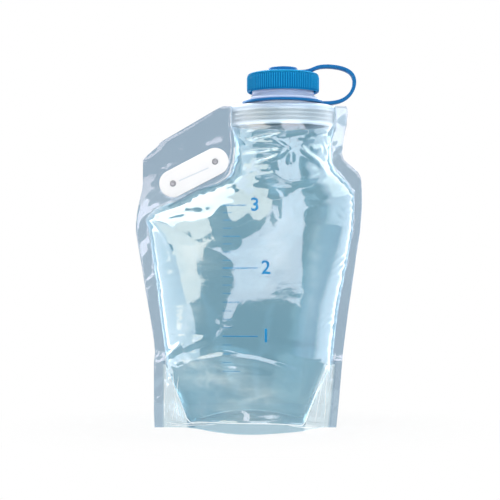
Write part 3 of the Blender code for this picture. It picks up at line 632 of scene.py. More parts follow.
def turnedPlace(tree, turn, stretch):
    # the object's own coordinates, turned about the depth and drawn out in height
    return shaderNode(
        tree, "Mapping", objectPlace(tree), Rotation=(0.0, turn, 0.0), Scale=(1.0, 1.0, stretch),
    )[0]


def noise(tree, place, size, detail, **named):
    return shaderNode(tree, "TexNoise", Vector=place, Scale=size, Detail=detail, **named)["Fac"]


def paintedParts(tree, name):
    # the red, green and blue of a colour attribute
    return shaderNode(tree, "SeparateColor", shaderNode(tree, "Attribute", attribute_name=name)["Color"])


def mapRange(tree, source, low, high, toLow=0.0, toHigh=1.0, shape="LINEAR"):
    return shaderNode(tree, "MapRange", source, low, high, toLow, toHigh, interpolation_type=shape)[0]


def mixColours(tree, factor, first, second):
    node = addNode(tree, "ShaderNodeMix", factor, data_type="RGBA")
    fill(tree, node.inputs[6], first)
    fill(tree, node.inputs[7], second)
    return node.outputs[2]


def cloudingGroup():
    # soft patches of a second tone, as in moulded or extruded plastic
    group, start, end = newGroup(
        "clouding", [("Tone", "c"), ("Second Tone", "c"), ("Size", "f", 40.0), ("Amount", "f", 0.5)],
        [("Tone", "c")],
    )
    patches = noise(group, objectPlace(group), start["Size"], 4.0, Roughness=0.55)
    share = calc(group, "MULTIPLY", mapRange(group, patches, 0.35, 0.65), start["Amount"])
    group.links.new(mixColours(group, share, start["Tone"], start["Second Tone"]), end["Tone"])
    return group


def grainGroup():
    # fine surface grain for the bump, and a roughness that varies with it
    group, start, end = newGroup(
        "surfaceGrain", [("Size", "f", 900.0), ("Low", "f", 0.3), ("High", "f", 0.5)],
        [("Height", "f"), ("Roughness", "f")],
    )
    place = objectPlace(group)
    group.links.new(noise(group, place, start["Size"], 2.0), end["Height"])
    broad = noise(group, place, 55.0, 3.0)
    group.links.new(mapRange(group, broad, 0.0, 1.0, start["Low"], start["High"]), end["Roughness"])
    return group


def scratchGroup():
    # thin scuffs in a few directions: 1 on a scuff, 0 beside it
    group, start, end = newGroup(
        "handlingScuffs", [("Size", "f", 60.0), ("Amount", "f", 0.5)], [("Mask", "f")],
    )
    mask = 0.0
    for turn, stretch in ((0.4, 14.0), (-0.9, 20.0), (1.5, 9.0)):
        turned = turnedPlace(group, turn, stretch)
        scuffs = mapRange(group, noise(group, turned, start["Size"], 1.0), 0.66, 0.72)
        mask = calc(group, "MAXIMUM", scuffs, mask)
    group.links.new(calc(group, "MULTIPLY", mask, start["Amount"]), end["Mask"])
    return group


clouding, surfaceGrain, handlingScuffs = cloudingGroup(), grainGroup(), scratchGroup()


def newFinish(name, roughness, **named):
    finish = bpy.data.materials.new(name)
    finish.use_nodes = True
    tree = finish.node_tree
    return finish, tree, feed(tree, tree.nodes["Principled BSDF"], Roughness=roughness, **named)


def mixSurface(tree, share, first, second):
    # the finish shows the second shader by the share
    mixed = shaderNode(tree, "MixShader", share, first.outputs[0], second.outputs[0])
    feed(tree, tree.nodes["Material Output"], Surface=mixed[0])


def wornGrain(tree, shader, grainSize, low, high, strength, distance, scuffSize, scuffAmount, scuffRough):
    # roughness from fine grain and scuffs, and a bump from the grain
    grain = placeGroup(tree, surfaceGrain, Size=grainSize, Low=low, High=high)
    scuffs = placeGroup(tree, handlingScuffs, Size=scuffSize, Amount=scuffAmount)
    rough = calc(tree, "MULTIPLY_ADD", scuffs["Mask"], scuffRough, grain["Roughness"])
    relief = addNode(tree, "ShaderNodeBump", Height=grain["Height"], Strength=strength, Distance=distance)
    feed(tree, shader, Roughness=rough, Normal=relief.outputs[0])
    return rough, relief


def mouldedFinish(name, tone, secondTone, amount, size, low, high, bump, grainSize, **named):
    finish, tree, shader = newFinish(name, (low + high) / 2, **named)
    cloud = placeGroup(tree, clouding, Tone=tone, Second_Tone=secondTone, Amount=amount, Size=size)
    feed(tree, shader, Base_Color=cloud["Tone"])
    wornGrain(
        tree, shader, grainSize, low, high, bump, 0.0002, scuffSize=70.0, scuffAmount=0.5, scuffRough=0.18,
    )
    return finish


def retone(finish, makeMask, tone):
    # mixes a tone of painted light and shade into the base colour by a mask made from the object's own
    # coordinates
    tree = finish.node_tree
    shader = tree.nodes["Principled BSDF"]
    before = shader.inputs["Base Color"].links[0].from_socket
    mask = makeMask(tree, shaderNode(tree, "SeparateXYZ", objectPlace(tree)))
    feed(tree, shader, Base_Color=mixColours(tree, mask, before, tone))


def paintGrooveShade(finish, radius, low, high, tone):
    # painted shade: deepens the tone of the skirt between the ribs, where shade falls
    def mask(tree, parts):
        aside = calc(tree, "SUBTRACT", parts["X"], fitment["axis"])
        flat = shaderNode(tree, "CombineXYZ", aside, parts["Y"])[0]
        reach = calcVector(tree, "LENGTH", flat)["Value"]
        share = 1.0
        for value, start, end in (
            (reach, radius + 0.0004, radius + 0.0001), (reach, radius - 0.0006, radius - 0.0004),
            (parts["Z"], low, low + 0.0004), (parts["Z"], high, high - 0.0004),
        ):
            share = calc(tree, "MULTIPLY", mapRange(tree, value, start, end), share)
        return share

    retone(finish, mask, tone)


def paintLightAndShade(finish, low, high, tone, sunk=False):
    # painted light and shade: a tone that comes in with height, or with the distance from the pouch's middle
    # plane
    def mask(tree, parts):
        return mapRange(tree, calc(tree, "ABSOLUTE", parts["Y"]) if sunk else parts["Z"], low, high)

    retone(finish, mask, tone)


film = dict(
    thick=0.00028, rows=244, marginColumns=14, chamberColumns=124, rightColumns=9, freeRows=13,
    baseMargin=4, rough=0.035, collarRough=0.34, webLean=-0.055,
    chamberTint=(0.405, 0.585, 0.665), sealTint=(0.60, 0.695, 0.77), webTint=(0.57, 0.665, 0.745),
    weldTint=(0.905, 0.945, 0.962), mistTint=(0.74, 0.81, 0.83), cloudTint=(0.80, 0.87, 0.90),
    shadowTint=(0.94, 0.965, 0.975),
)


def filmFinish():
    # clear film: a tint that follows the wall's zones, soft lighter patches of painted light, faint clouding
    # and scuffs, and a tinted opening for the lamps so that its shadow stays light
    finish, tree, shader = newFinish("clearFilm", film["rough"], Transmission_Weight=1.0, IOR=1.46)
    zone, wear = paintedParts(tree, "zone"), paintedParts(tree, "wear")
    tint = mixColours(tree, zone["Green"], film["sealTint"], film["webTint"])
    tint = mixColours(tree, zone["Red"], tint, film["chamberTint"])
    tint = mixColours(tree, zone["Blue"], tint, film["weldTint"])
    # painted light: soft lighter patches, streaked by noise, where the second attribute's red is set
    wisps = noise(tree, turnedPlace(tree, 0.25, 2.6), 26.0, 4.0, Distortion=0.6)
    litPatches = calc(tree, "MULTIPLY", wear["Red"], mapRange(tree, wisps, 0.40, 0.58, 0.15))
    cloud = placeGroup(
        tree, clouding, Tone=mixColours(tree, litPatches, tint, film["mistTint"]),
        Second_Tone=film["cloudTint"], Amount=0.10, Size=17.0,
    )
    rough, relief = wornGrain(
        tree, shader, 160.0, 0.025, 0.06, 0.10, 0.0004, scuffSize=34.0, scuffAmount=0.4, scuffRough=0.10,
    )
    rough = calc(tree, "MULTIPLY_ADD", wear["Green"], film["collarRough"], rough)
    feed(tree, shader, Base_Color=cloud["Tone"], Roughness=rough)
    # the corner round the grip hangs a little forward
    forward = calcVector(tree, "MULTIPLY", (0.0, 0.0, film["webLean"]), zone["Green"])[0]
    leaning = calcVector(tree, "ADD", shaderNode(tree, "NewGeometry")["Normal"], forward)[0]
    feed(tree, relief, Normal=calcVector(tree, "NORMALIZE", leaning)[0])
    clear = addNode(tree, "ShaderNodeBsdfTransparent", Color=film["shadowTint"])
    mixSurface(tree, shaderNode(tree, "LightPath")["Is Shadow Ray"], shader, clear)
    return finish


clearFilm = filmFinish()
# each moulding: tone, second tone, share and size of its patches, roughness from and to,
# strength of the bump and size of the grain
fitmentPlastic = mouldedFinish(
    "naturalMoulding", (0.45, 0.48, 0.475), (0.52, 0.55, 0.54), 0.6, 60.0, 0.30, 0.42, 0.12,
    700.0, Subsurface_Weight=0.25, Subsurface_Radius=(0.004, 0.005, 0.006), Subsurface_Scale=1.0,
)
# painted light: the collar's top, the deck and the bead are lightened where the ring and cap shade them
paintLightAndShade(fitmentPlastic, 0.2995, 0.3015, (0.78, 0.83, 0.92))
# painted shade and painted reflection: the neck under the cap is toned to a shaded, cap-blue grey
paintLightAndShade(fitmentPlastic, 0.3060, 0.3075, (0.46, 0.57, 0.78))
# painted light: the collar's foot and the bottom of its bore are lightened where they lie in shade
paintLightAndShade(fitmentPlastic, 0.2905, 0.2875, (0.90, 0.92, 0.93))
capPlastic = mouldedFinish(
    "blueMoulding", (0.012, 0.29, 0.61), (0.016, 0.345, 0.67), 0.55, 70.0, 0.46, 0.60, 0.25,
    1100.0, Specular_IOR_Level=0.05,
)
tetherPlastic = mouldedFinish(
    "blueTether", (0.010, 0.135, 0.37), (0.014, 0.175, 0.43), 0.5, 50.0, 0.42, 0.56, 0.2, 900.0,
    Specular_IOR_Level=0.12,
)
platePlastic = mouldedFinish(
    "whitePlate", (0.85, 0.865, 0.875), (0.91, 0.915, 0.92), 0.5, 45.0, 0.36, 0.5, 0.2, 1300.0,
)
# painted shade: the plate is darker deeper than about 0.6 mm below its face, in the slit's groove, the rivet
# seats and the lower part of its edge
paintLightAndShade(platePlastic, plateFace - 0.00058, plateFace - 0.00066, (0.66, 0.73, 0.78), True)
rivetMetal = mouldedFinish(
    "rivetGrey", (0.19, 0.21, 0.225), (0.26, 0.28, 0.30), 0.7, 400.0, 0.38, 0.55, 0.3, 2200.0,
    Metallic=0.4,
)
weldMilk = mouldedFinish(
    "weldMilk", (0.80, 0.88, 0.92), (0.92, 0.96, 0.98), 0.8, 260.0, 0.22, 0.40, 0.1, 1500.0,
)
printInk = mouldedFinish(
    "scaleInk", (0.004, 0.17, 0.42), (0.006, 0.25, 0.52), 0.8, 120.0, 0.40, 0.55, 0.05, 900.0,
    Specular_IOR_Level=0.3,
)
print("finishes ready")


# The film walls and the folded base
def wallGrid(side):
    # the inside of one wall, folds and all, as rows up the film by columns across
    z = np.linspace(0, pouch["height"], film["rows"])
    across = np.linspace(0, 1, film["chamberColumns"] + 1)
    # the columns stand closer together towards the seals
    across = 0.55 * across + 0.225 * (1 - np.cos(np.pi * across))
    leftEdge, left, right, rightEdge = (
        seamLine(name, z) for name in ("leftEdge", "leftSeal", "rightSeal", "rightEdge")
    )
    x = np.column_stack([
        np.linspace(leftEdge, left, film["marginColumns"] + 1, axis=1)[:, :-1],
        left[:, None] + (right - left)[:, None] * across,
        np.linspace(right, rightEdge, film["rightColumns"] + 1, axis=1)[:, 1:],
    ])
    z = np.broadcast_to(z[:, None], x.shape)
    grid = np.stack([x, pouch["gap"] / 2 + gussetRoom(x, z) + halfDepth(x, z), z], -1)
    grid += wallLift(x, z, side)[..., None] * gridNormals(grid)
    return grid


# soft lighter patches of painted light on the film: middle x and z, half length and half height, turn, amount
paintedLightPatches = (
    (-30, 46, 46, 14, -8, 0.75), (6, 34, 34, 9, -14, 0.8), (-14, 18, 30, 8, 3, 0.7),
    (-52, 62, 18, 9, 20, 0.9), (-20, 60, 34, 5, -10, 0.55), (-58, 104, 12, 20, -10, 0.6),
    (-48, 170, 20, 34, -12, 0.5), (24, 175, 18, 50, -4, 0.35), (62, 160, 6, 60, -4, 0.35),
    (20, 20, 14, 10, 0, 0.5),
)


def paintPoints(piece, name, *channels):
    layer = piece.data.color_attributes.new(name, "FLOAT_COLOR", "POINT")
    count = len(piece.data.vertices)
    colours = [np.broadcast_to(channel, count) for channel in (*channels, 1.0)]
    layer.data.foreach_set("color", np.stack(colours, -1).reshape(-1))


def paintZones(piece, weld=0.0):
    # zone: red the water space, green the corner round the grip, blue welded film
    # the second attribute: red soft lighter patches of painted light, green film pressed over the collar
    places = np.empty(len(piece.data.vertices) * 3)
    piece.data.vertices.foreach_get("co", places)
    x, _, z = places.reshape(-1, 3).T
    inside = insideSeals(x, z)
    chamber = easeStep(inside / 0.0085 + 0.15)
    # the water's tint fades out over the last few millimetres below the collar: partly the film closing onto
    # the collar, partly a painted highlight on the film just under it
    chamber = chamber * (1 - easeStep((z - collarFoot + 0.006) / 0.007))
    web = easeStep((z - 0.215) / 0.03) * easeStep(-x / 0.02)
    corner = easeStep((abs(x - baseMiddle) / baseHalf - pouch["seamStart"] + 0.03) / 0.06)
    under = easeStep((seamHeight(x) - z) / 0.0016 + 0.5) * easeStep((inside + 0.004) / 0.003)
    under = np.maximum(weld, under)
    chamber = chamber * (1 - 0.35 * under * (1 - corner))
    chamber = chamber * (1 - 0.55 * corner * (1 - easeStep((z - seamHeight(x)) / 0.009)))
    paintPoints(piece, "zone", chamber, web, np.maximum(weld, under * corner))
    # painted light: lighter patches laid on the film at the listed places
    litPatches = 0.0
    for middleX, middleZ, halfX, halfZ, turn, amount in paintedLightPatches:
        way = wayAt(turn)
        offX, offZ = x * 1000 - middleX, z * 1000 - middleZ
        along, over = offX * way[0] + offZ * way[1], offZ * way[0] - offX * way[1]
        litPatches = np.maximum(litPatches, amount * np.exp(-((along / halfX) ** 2) - (over / halfZ) ** 2))
    paintPoints(piece, "wear", litPatches * chamber, onCollar(z) * easeStep(inside / 0.002), 0.0)


def filmWall(side):
    near = wallGrid(side)
    turn = -1 if side == "front" else 1
    shift = marginWave(near[..., 0], near[..., 2])
    far = near + film["thick"] * gridNormals(near)
    for edge in ((0, ...), (-1, ...), (slice(None), 0), (slice(None), -1)):
        far[edge] = near[edge] + (0, film["thick"] / 4, 0)
    for grid in (near, far):
        grid[..., 1] = grid[..., 1] * turn + shift
    piece = doubleSheet(f"film_{side}", near, far, clearFilm)
    paintZones(piece)
    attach(piece, "carrier")
    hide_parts(f"{side}_panel")
    return piece


def baseColumn(column, normals, weldedRows):
    # half of the base film's section under one column of the wall
    x = column[0, 0]
    fold = cornerShare(x, pouch["foldStart"]) ** pouch["foldPower"]
    crown = pouch["floorLift"] + pouch["floorCrown"]
    foldZ = crown + (pouch["gussetTop"] - crown) * fold
    seamZ = seamHeight(x)
    heights = column[:weldedRows, 2]
    heights = np.append(heights[heights < seamZ - pouch["gap"]], seamZ)
    face = column - pouch["gap"] * normals
    welded = np.column_stack([
        *(np.interp(heights, column[:, 2], face[:, axis]) for axis in (0, 1)), heights,
    ])
    welded[0, 2] = pouch["gap"]
    welded[-1] -= (0, pouch["gap"], 0)
    spare = weldedRows + film["freeRows"] - len(welded)
    steps = np.arange(1, spare + 1) / spare
    bulge = 1 + 2 * cornerShare(x, pouch["foldStart"])
    free = np.column_stack([
        np.full(spare, welded[-1, 0]),
        welded[-1, 1] * (1 - steps**bulge),
        seamZ + (foldZ - seamZ) * steps,
    ])
    return np.concatenate([welded, free])


def baseFilm():
    # the folded film between the walls, one half after the other
    halves = []
    for side in ("rear", "front"):
        wall = wallGrid(side)
        spare = film["baseMargin"]
        wall = wall[:, film["marginColumns"] - spare:wall.shape[1] - film["rightColumns"] + spare]
        normals = gridNormals(wall)
        weldedRows = int((wall[:, 0, 2] < pouch["gussetTop"] - pouch["floorCrown"]).sum())
        top = np.array([
            baseColumn(wall[:, j], normals[:, j], weldedRows) for j in range(wall.shape[1])
        ])
        under = top + film["thick"] * gridNormals(top)
        under[:, 0] = top[:, 0] - (0, film["thick"], 0)
        under[..., 1] = np.clip(under[..., 1], pouch["gap"] / 2, None)
        under[:, -1] = top[:, -1] - (0, 0, film["thick"])
        halves.append((under, top))
    near, far = (
        np.concatenate([front * (1, -1, 1), rear[:, -2::-1]], axis=1) for rear, front in zip(*halves)
    )
    for grid in (near, far):
        grid[..., 1] += marginWave(grid[..., 0], grid[..., 2])
    piece = doubleSheet("film_base", near, far, clearFilm)
    paintZones(piece, 1.0)
    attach(piece, "carrier")
    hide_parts("base_gusset")


filmFront = filmWall("front")
filmRear = filmWall("rear")
baseFilm()
print("film walls and base made")


# Neck fitment
def collarRow(inset, z):
    # the boat-shaped outline of the collar, two arcs that meet at its ends
    half, side = fitment["length"] / 2 - inset, fitment["depth"] / 2 - inset
    back = (half**2 + side**2) / (2 * side) - side
    sine = np.abs(np.sin(evenTurns(fitment["sides"])))
    return roundRow(np.sqrt((back * sine) ** 2 + half**2) - back * sine, z, fitment["sides"])


def threadLift(z, sides, turns, topZ):
    # height of a helical ridge over a round wall at one height, all the way round
    lift = np.zeros(sides)
    flat, foot = fitment["ridgeCrest"] / 2, fitment["ridgeBase"] / 2
    for lap in range(int(math.ceil(turns)) + 1):
        turn = lap - evenTurns(sides) / (2 * math.pi)
        away = np.abs(z - topZ + fitment["pitch"] * turn)
        face = 1 - easeStep((away - flat) / (foot - flat))
        ends = easeStep(turn / fitment["ridgeEnd"]) * easeStep((turns - turn) / fitment["ridgeEnd"])
        lift = np.maximum(lift, fitment["ridge"] * face * ends)
    return lift


def neckFitment():
    sides, depth, seat = fitment["sides"], fitment["ribDepth"], fitment["seatRadius"]
    bead, soft, neck = fitment["beadRadius"], fitment["beadRound"], fitment["neckRadius"]
    throat, pitch = bead - fitment["beadStep"], fitment["height"] / fitment["ribs"]
    rows = [collarRow(depth, collarFoot - 0.00002)]
    for k in range(fitment["ribs"]):
        for share in np.linspace(0, 1, 11)[1 if k else 0:]:
            valley = (1 - math.sin(math.pi * share) ** 0.45) if 0 < share < 1 else 1
            rows.append(collarRow(depth * valley, collarFoot + (k + share) * pitch))
    # the deck rises from the collar's outline to the round seat
    deckZ = pouch["height"] + 0.0005
    edge = collarRow(fitment["deckBevel"] + 0.0003, deckZ)
    for share, rise in ((0.0, 0.0), (0.12, 0.25), (0.4, 0.55), (0.75, 0.85), (1.0, 1.0)):
        row = edge * (1 - share) + roundRow(seat + 0.0006, seatZ, sides) * share
        row[:, 2] = deckZ + (seatZ - deckZ) * rise
        rows.append(row)
    rows += turnedRows([
        (seat + 0.0003, seatZ + 0.0001, 0), (seat, seatZ + 0.0006, 0), (seat, beadZ, 0),
        (bead, beadZ, soft), (bead, shoulderZ, soft), (throat, shoulderZ, 0.0005),
    ], sides)
    # the neck sweeps in above the bead and carries its thread
    for share in np.linspace(0.1, 1, 10):
        radius = neck + (throat - neck) * (1 - share) ** 2
        rows.append(roundRow(radius, shoulderZ + fitment["shoulderHeight"] * share, sides))
    threadFoot = shoulderZ + fitment["shoulderHeight"] + fitment["threadStep"]
    for z in np.arange(threadFoot, lipZ - 0.0008, fitment["threadStep"]):
        lift = threadLift(z, sides, fitment["turns"], lipZ - fitment["lipDrop"])
        rows.append(roundRow(neck + lift, z, sides))
    # over the lip and down the bore
    bore, inner = neck - fitment["neckWall"], seat - fitment["shoulderWall"]
    lip, turn = fitment["lipRound"], fitment["boreRound"]
    rows += turnedRows([
        (neck, lipZ - 0.0006, 0), (neck, lipZ, lip), (bore, lipZ, lip),
        (bore, shoulderZ + fitment["shoulderHeight"] / 2, turn),
        (inner, shoulderZ - fitment["beadHeight"] / 2, turn), (inner, seatZ, 0),
    ], sides)
    wall = depth + fitment["wall"]
    rows += [
        collarRow(wall, pouch["height"] - fitment["wall"]), collarRow(wall, collarFoot + 0.001),
        collarRow(wall - 0.0004, collarFoot),
    ]
    piece = makePiece("neck_moulding", *latheRows(rows, True), fitmentPlastic)
    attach(piece, "carrier")
    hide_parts("neck_fitment")


neckFitment()
print("neck fitment made")


# Screw cap
cap = dict(
    radius=0.0343, height=0.0181, bore=0.0320, topWall=0.0022, footBevel=0.0010, topInset=0.0030,
    topDrop=0.0010, ribs=96, ribDepth=0.0006, ribWidth=0.00068, ribFoot=0.0004, ribTop=0.0028,
    plugDepth=0.0028, plugWall=0.0014, plugGap=0.0004, stud=0.0070, head=0.0098,
    headHeight=0.0021, threadTurns=1.1, sides=192, eyeThick=0.0030,
)
ceilingZ = lipZ + pouch["gap"]
capTop = ceilingZ + cap["topWall"]
capFoot = capTop - cap["height"]
eyeFoot = capTop + pouch["gap"]
headZ = eyeFoot + cap["eyeThick"] + pouch["gap"]


def nodeTree(name, inputs):
    shape = ("Geometry", "g")
    return newGroup(name, [shape, *inputs], [shape], "Geometry")


def finishTree(tree, start, end, geometry):
    whole = shapeNode(tree, "RealizeInstances", shapeNode(tree, "SetShadeSmooth", geometry))
    painted = shapeNode(tree, "SetMaterial", whole, Material=start["Finish"])
    tree.links.new(painted, end[0])
    return tree


def sweptBar(tree, line, profile, scale=1.0):
    # the profile carried along the line, closed at both ends
    return shapeNode(tree, "CurveToMesh", Curve=line, Profile_Curve=profile, Scale=scale, Fill_Caps=True)


def settledMesh(piece):
    graph = bpy.context.evaluated_depsgraph_get()
    return bpy.data.meshes.new_from_object(piece.evaluated_get(graph), depsgraph=graph)


def settle(piece):
    # keeps what the modifiers made and takes them off
    mesh = settledMesh(piece)
    piece.modifiers.clear()
    piece.data = mesh
    return piece


def pieceFrom(name, working, finish):
    piece = rawPiece(name, [])
    working.to_mesh(piece.data)
    working.free()
    piece.data.materials.append(finish)
    return piece


def applyTree(piece, tree, **values):
    modifier = piece.modifiers.new(tree.name, "NODES")
    modifier.node_group = tree
    for item in tree.interface.items_tree:
        key = item.name[0].lower() + item.name[1:].replace(" ", "")
        if item.in_out == "INPUT" and key in values:
            modifier[item.identifier] = values[key]
    return settle(piece)


# milky edges of the welds along the base: side, radius in mm, and a line of (x, z) mm
welds = dict(mainRadius=0.42, spacing=0.0015, fewest=12, sink=0.00012, taper=0.12, tip=0.15, sides=8)
welds["lines"] = (
    ("front", 0.36, ((-80, 5.6), (-68, 3.2), (-54, 4.4), (-38, 7.6))),
    ("front", 0.3, ((-79, 2.6), (-62, 1.6), (-44, 4.6), (-30, 7.4))),
    ("front", 0.34, ((36, 7), (50, 3.6), (60, 1.4))),
    ("front", 0.4, ((73.5, 62), (73.4, 48), (72.2, 34), (72.8, 18), (71, 8))),
    ("front", 0.3, ((-79.5, 44), (-80.4, 26), (-80, 8))),
    ("front", 0.26, ((-66, 50), (-69, 30), (-73, 6))),
    ("front", 0.26, ((-72, 58), (-70.5, 36), (-66, 8))),
    ("front", 0.3, ((72, 56), (67, 34), (62, 6))),
    ("rear", 0.34, ((-80, 5), (-60, 3), (-40, 7.6))),
    ("rear", 0.34, ((74, 4), (58, 3), (38, 7.4))),
)


def weldTree():
    # a round bead along each line of the mesh, thinner towards its ends
    tree, start, end = nodeTree("weldBeads", [
        ("Sides", "i"), ("Taper", "f"), ("Tip", "f"), ("Finish", "m"),
    ])
    line = shapeNode(tree, "MeshToCurve", Mesh=start["Geometry"])
    along = shapeNode(tree, "SplineParameter")
    nearEnd = calc(tree, "MINIMUM", along, calc(tree, "SUBTRACT", 1.0, along))
    thin = mapRange(tree, nearEnd, 0.0, start["Taper"], start["Tip"], 1.0, "SMOOTHSTEP")
    size = shapeNode(tree, "InputNamedAttribute", data_type="FLOAT", Name="beadRadius")
    ring = shapeNode(tree, "CurvePrimitiveCircle", Resolution=start["Sides"], Radius=1.0)
    bead = sweptBar(tree, line, ring, calc(tree, "MULTIPLY", size, thin))
    return finishTree(tree, start, end, bead)


def weldBeads():
    bpy.context.view_layer.update()
    points, edges, sizes = [], [], []
    main = [(side, welds["mainRadius"], seamRoute() * 1000) for side in ("front", "rear")]
    for side, radius, line in (*main, *welds["lines"]):
        line = np.array(line, float) / 1000
        passed = np.concatenate([[0], np.cumsum(np.hypot(*np.diff(line, axis=0).T))])
        count = max(welds["fewest"], int(passed[-1] / welds["spacing"]))
        first = len(points)
        turn, wall = (-1, filmFront) if side == "front" else (1, filmRear)
        for spot in np.linspace(0, passed[-1], count):
            x, z = (float(np.interp(spot, passed, line[:, axis])) for axis in (0, 1))
            hit, place, _, _ = wall.ray_cast((x, turn * 0.2, z), (0.0, -turn, 0.0))
            if hit:
                points.append((x, place.y + turn * welds["sink"], z))
                sizes.append(radius / 1000)
        edges += [(k, k + 1) for k in range(first, len(points) - 1)]
    piece = rawPiece("weld_beads", points, edges)
    piece.data.attributes.new("beadRadius", "FLOAT", "POINT").data.foreach_set("value", sizes)
    applyTree(
        piece, weldTree(), sides=welds["sides"], taper=welds["taper"], tip=welds["tip"], finish=weldMilk,
    )
    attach(piece, "carrier")


weldBeads()
print("weld beads made")


# painted shade in the grooves between the cap's ribs
paintGrooveShade(
    capPlastic, cap["radius"] - cap["ribDepth"], capFoot + cap["ribFoot"], capTop - cap["ribTop"],
    (0.002, 0.15, 0.40),
)


def ribTree():
    # upright rounded bars at even turns round the cap's skirt
    tree, start, end = nodeTree("capRibs", [
        ("Count", "i"), ("Skirt Radius", "f"), ("Axis", "f"), ("Foot", "f"), ("Top", "f"),
        ("Rib Depth", "f"), ("Rib Width", "f"), ("Finish", "m"),
    ])

    def vector(**parts):
        return shaderNode(tree, "CombineXYZ", **parts)[0]

    line = shapeNode(tree, "CurvePrimitiveLine", Start=vector(Z=start["Foot"]), End=vector(Z=start["Top"]))
    line = shapeNode(tree, "ResampleCurve", Curve=line, Count=9)
    # each bar tapers quickly at its two ends
    swell = addNode(tree, "ShaderNodeFloatCurve", Value=shapeNode(tree, "SplineParameter"))
    curve = swell.mapping.curves[0]
    for point in curve.points:
        point.location[1] = 0.05
    curve.points.new(0.10, 1.0)
    curve.points.new(0.90, 1.0)
    swell.mapping.update()
    ring = shapeNode(tree, "CurvePrimitiveCircle", Resolution=8, Radius=1.0)
    size = vector(X=start["Rib Depth"], Y=start["Rib Width"], Z=1.0)
    bar = sweptBar(tree, line, shapeNode(tree, "Transform", Geometry=ring, Scale=size), swell.outputs[0])
    circle = shapeNode(tree, "MeshCircle", Vertices=start["Count"], Radius=start["Skirt Radius"])
    step = calc(tree, "DIVIDE", 2 * math.pi, start["Count"])
    turn = vector(Z=calc(tree, "MULTIPLY", shapeNode(tree, "InputIndex"), step))
    bars = shapeNode(tree, "InstanceOnPoints", Points=circle, Instance=bar, Rotation=turn)
    moved = shapeNode(tree, "Transform", Geometry=bars, Translation=vector(X=start["Axis"]))
    both = addNode(tree, "GeometryNodeJoinGeometry", moved)
    feed(tree, both, start["Geometry"])
    return finishTree(tree, start, end, both.outputs[0])


def screwCap():
    sides, stud, head, bore = cap["sides"], cap["stud"], cap["head"], cap["bore"]
    skirt, top, headTop = cap["radius"] - cap["ribDepth"], capTop, headZ + cap["headHeight"]
    rows = turnedRows([
        (0.0001, headTop - 0.0002, 0), (head - 0.0035, headTop, 0.002), (head, headTop - 0.0006, 0.0006),
        (head, headZ + 0.0002, 0.0003), (stud, headZ, 0.0003), (stud, top, 0.0006),
        (stud + 0.006, top, 0.0005), (cap["radius"] - cap["topInset"] - 0.0012, top, 0.0006),
        (cap["radius"] - 0.0006, top - cap["topDrop"], 0.0016), (skirt, top - cap["ribTop"], 0.0009),
        (skirt, capFoot + cap["footBevel"], 0.0005), (skirt - 0.0006, capFoot, 0.0004),
        (bore + 0.0004, capFoot, 0.0003), (bore, capFoot + 0.0008, 0.0003),
    ], sides)
    threadTop = lipZ - fitment["lipDrop"] - fitment["pitch"] / 2
    for z in np.arange(capFoot + 0.0012, ceilingZ - 0.0012, fitment["threadStep"]):
        lift = threadLift(z, sides, cap["threadTurns"], threadTop)
        rows.append(roundRow(bore - lift, z, sides))
    plug, plugFoot = fitment["neckRadius"] - fitment["neckWall"] - cap["plugGap"], ceilingZ - cap["plugDepth"]
    rows += turnedRows([
        (bore, ceilingZ - 0.0009, 0), (bore, ceilingZ, 0.0006), (plug, ceilingZ, 0.0003),
        (plug, plugFoot, 0.0004), (plug - cap["plugWall"], plugFoot, 0.0004),
        (plug - cap["plugWall"], ceilingZ, 0.0004), (0.0001, ceilingZ, 0),
    ], sides)
    piece = makePiece("cap_moulding", *latheRows(rows, False, (True, True)), capPlastic)
    applyTree(
        piece, ribTree(), count=cap["ribs"], skirtRadius=skirt, axis=fitment["axis"],
        foot=capFoot + cap["ribFoot"], top=top - cap["ribTop"] + 0.0006,
        ribDepth=cap["ribDepth"], ribWidth=cap["ribWidth"], finish=capPlastic,
    )
    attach(piece, "cap")
    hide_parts("screw_cap")


screwCap()
print("cap made")


# Tether: one soft moulding, a ring round the neck, a strap and an eye on the cap's stud
tether = dict(
    ringWidth=0.0050, ringThick=0.0022, eyeWidth=0.0063, eyeThick=0.0030, soft=0.0007, eyeRim=0.0052,
    eyeRimWall=0.0026, strapWidth=0.0082, strapThick=0.0033, lug=0.0016, overlap=0.0042, rise=0.0055,
    reach=0.0278, topFlat=0.0300, stations=90, sides=160,
)


def strapRoute():
    # the strap's middle line, from the eye across the cap and down to the ring
    gap, lug, flat = pouch["gap"], tether["lug"], tether["topFlat"]
    eyeRim = cap["stud"] + gap + tether["eyeWidth"]
    ringRim = fitment["seatRadius"] + 2 * gap + tether["ringWidth"]
    eyeX, ringX = (fitment["axis"] + rim + lug + gap for rim in (eyeRim, ringRim))
    high, low = eyeFoot + tether["eyeThick"] / 2, seatZ + gap + tether["ringThick"] / 2
    crest, far = high + tether["rise"], ringX + tether["reach"]
    drop = crest - low
    route = splinePoints(np.array([
        (eyeX, high), (eyeX + flat / 3, high), (ringX - flat / 3, crest),
        (ringX + flat / 3, crest), (far, crest - drop / 6), (far, low + drop / 3),
        (ringX + flat / 2, low), (ringX + lug, low), (ringX, low),
    ]), tether["stations"])
    start, end = ([(x - tether["overlap"], z)] for x, z in ((eyeX, high), (ringX, low)))
    return np.concatenate([start, route, end])


def splinePoints(corners, count):
    spans = len(corners) - 3
    knots = np.concatenate([[0, 0, 0], np.arange(spans + 1), [spans] * 3]).astype(float)
    points = []
    for t in np.linspace(0, spans, count):
        k = min(int(t), spans - 1) + 3
        d = [corners[j + k - 3].astype(float) for j in range(4)]
        for r in range(1, 4):
            for j in range(3, r - 1, -1):
                low, high = knots[j + k - 3], knots[j + 1 + k - r]
                a = (t - low) / (high - low)
                d[j] = (1 - a) * d[j - 1] + a * d[j]
        points.append(d[3])
    return np.array(points)


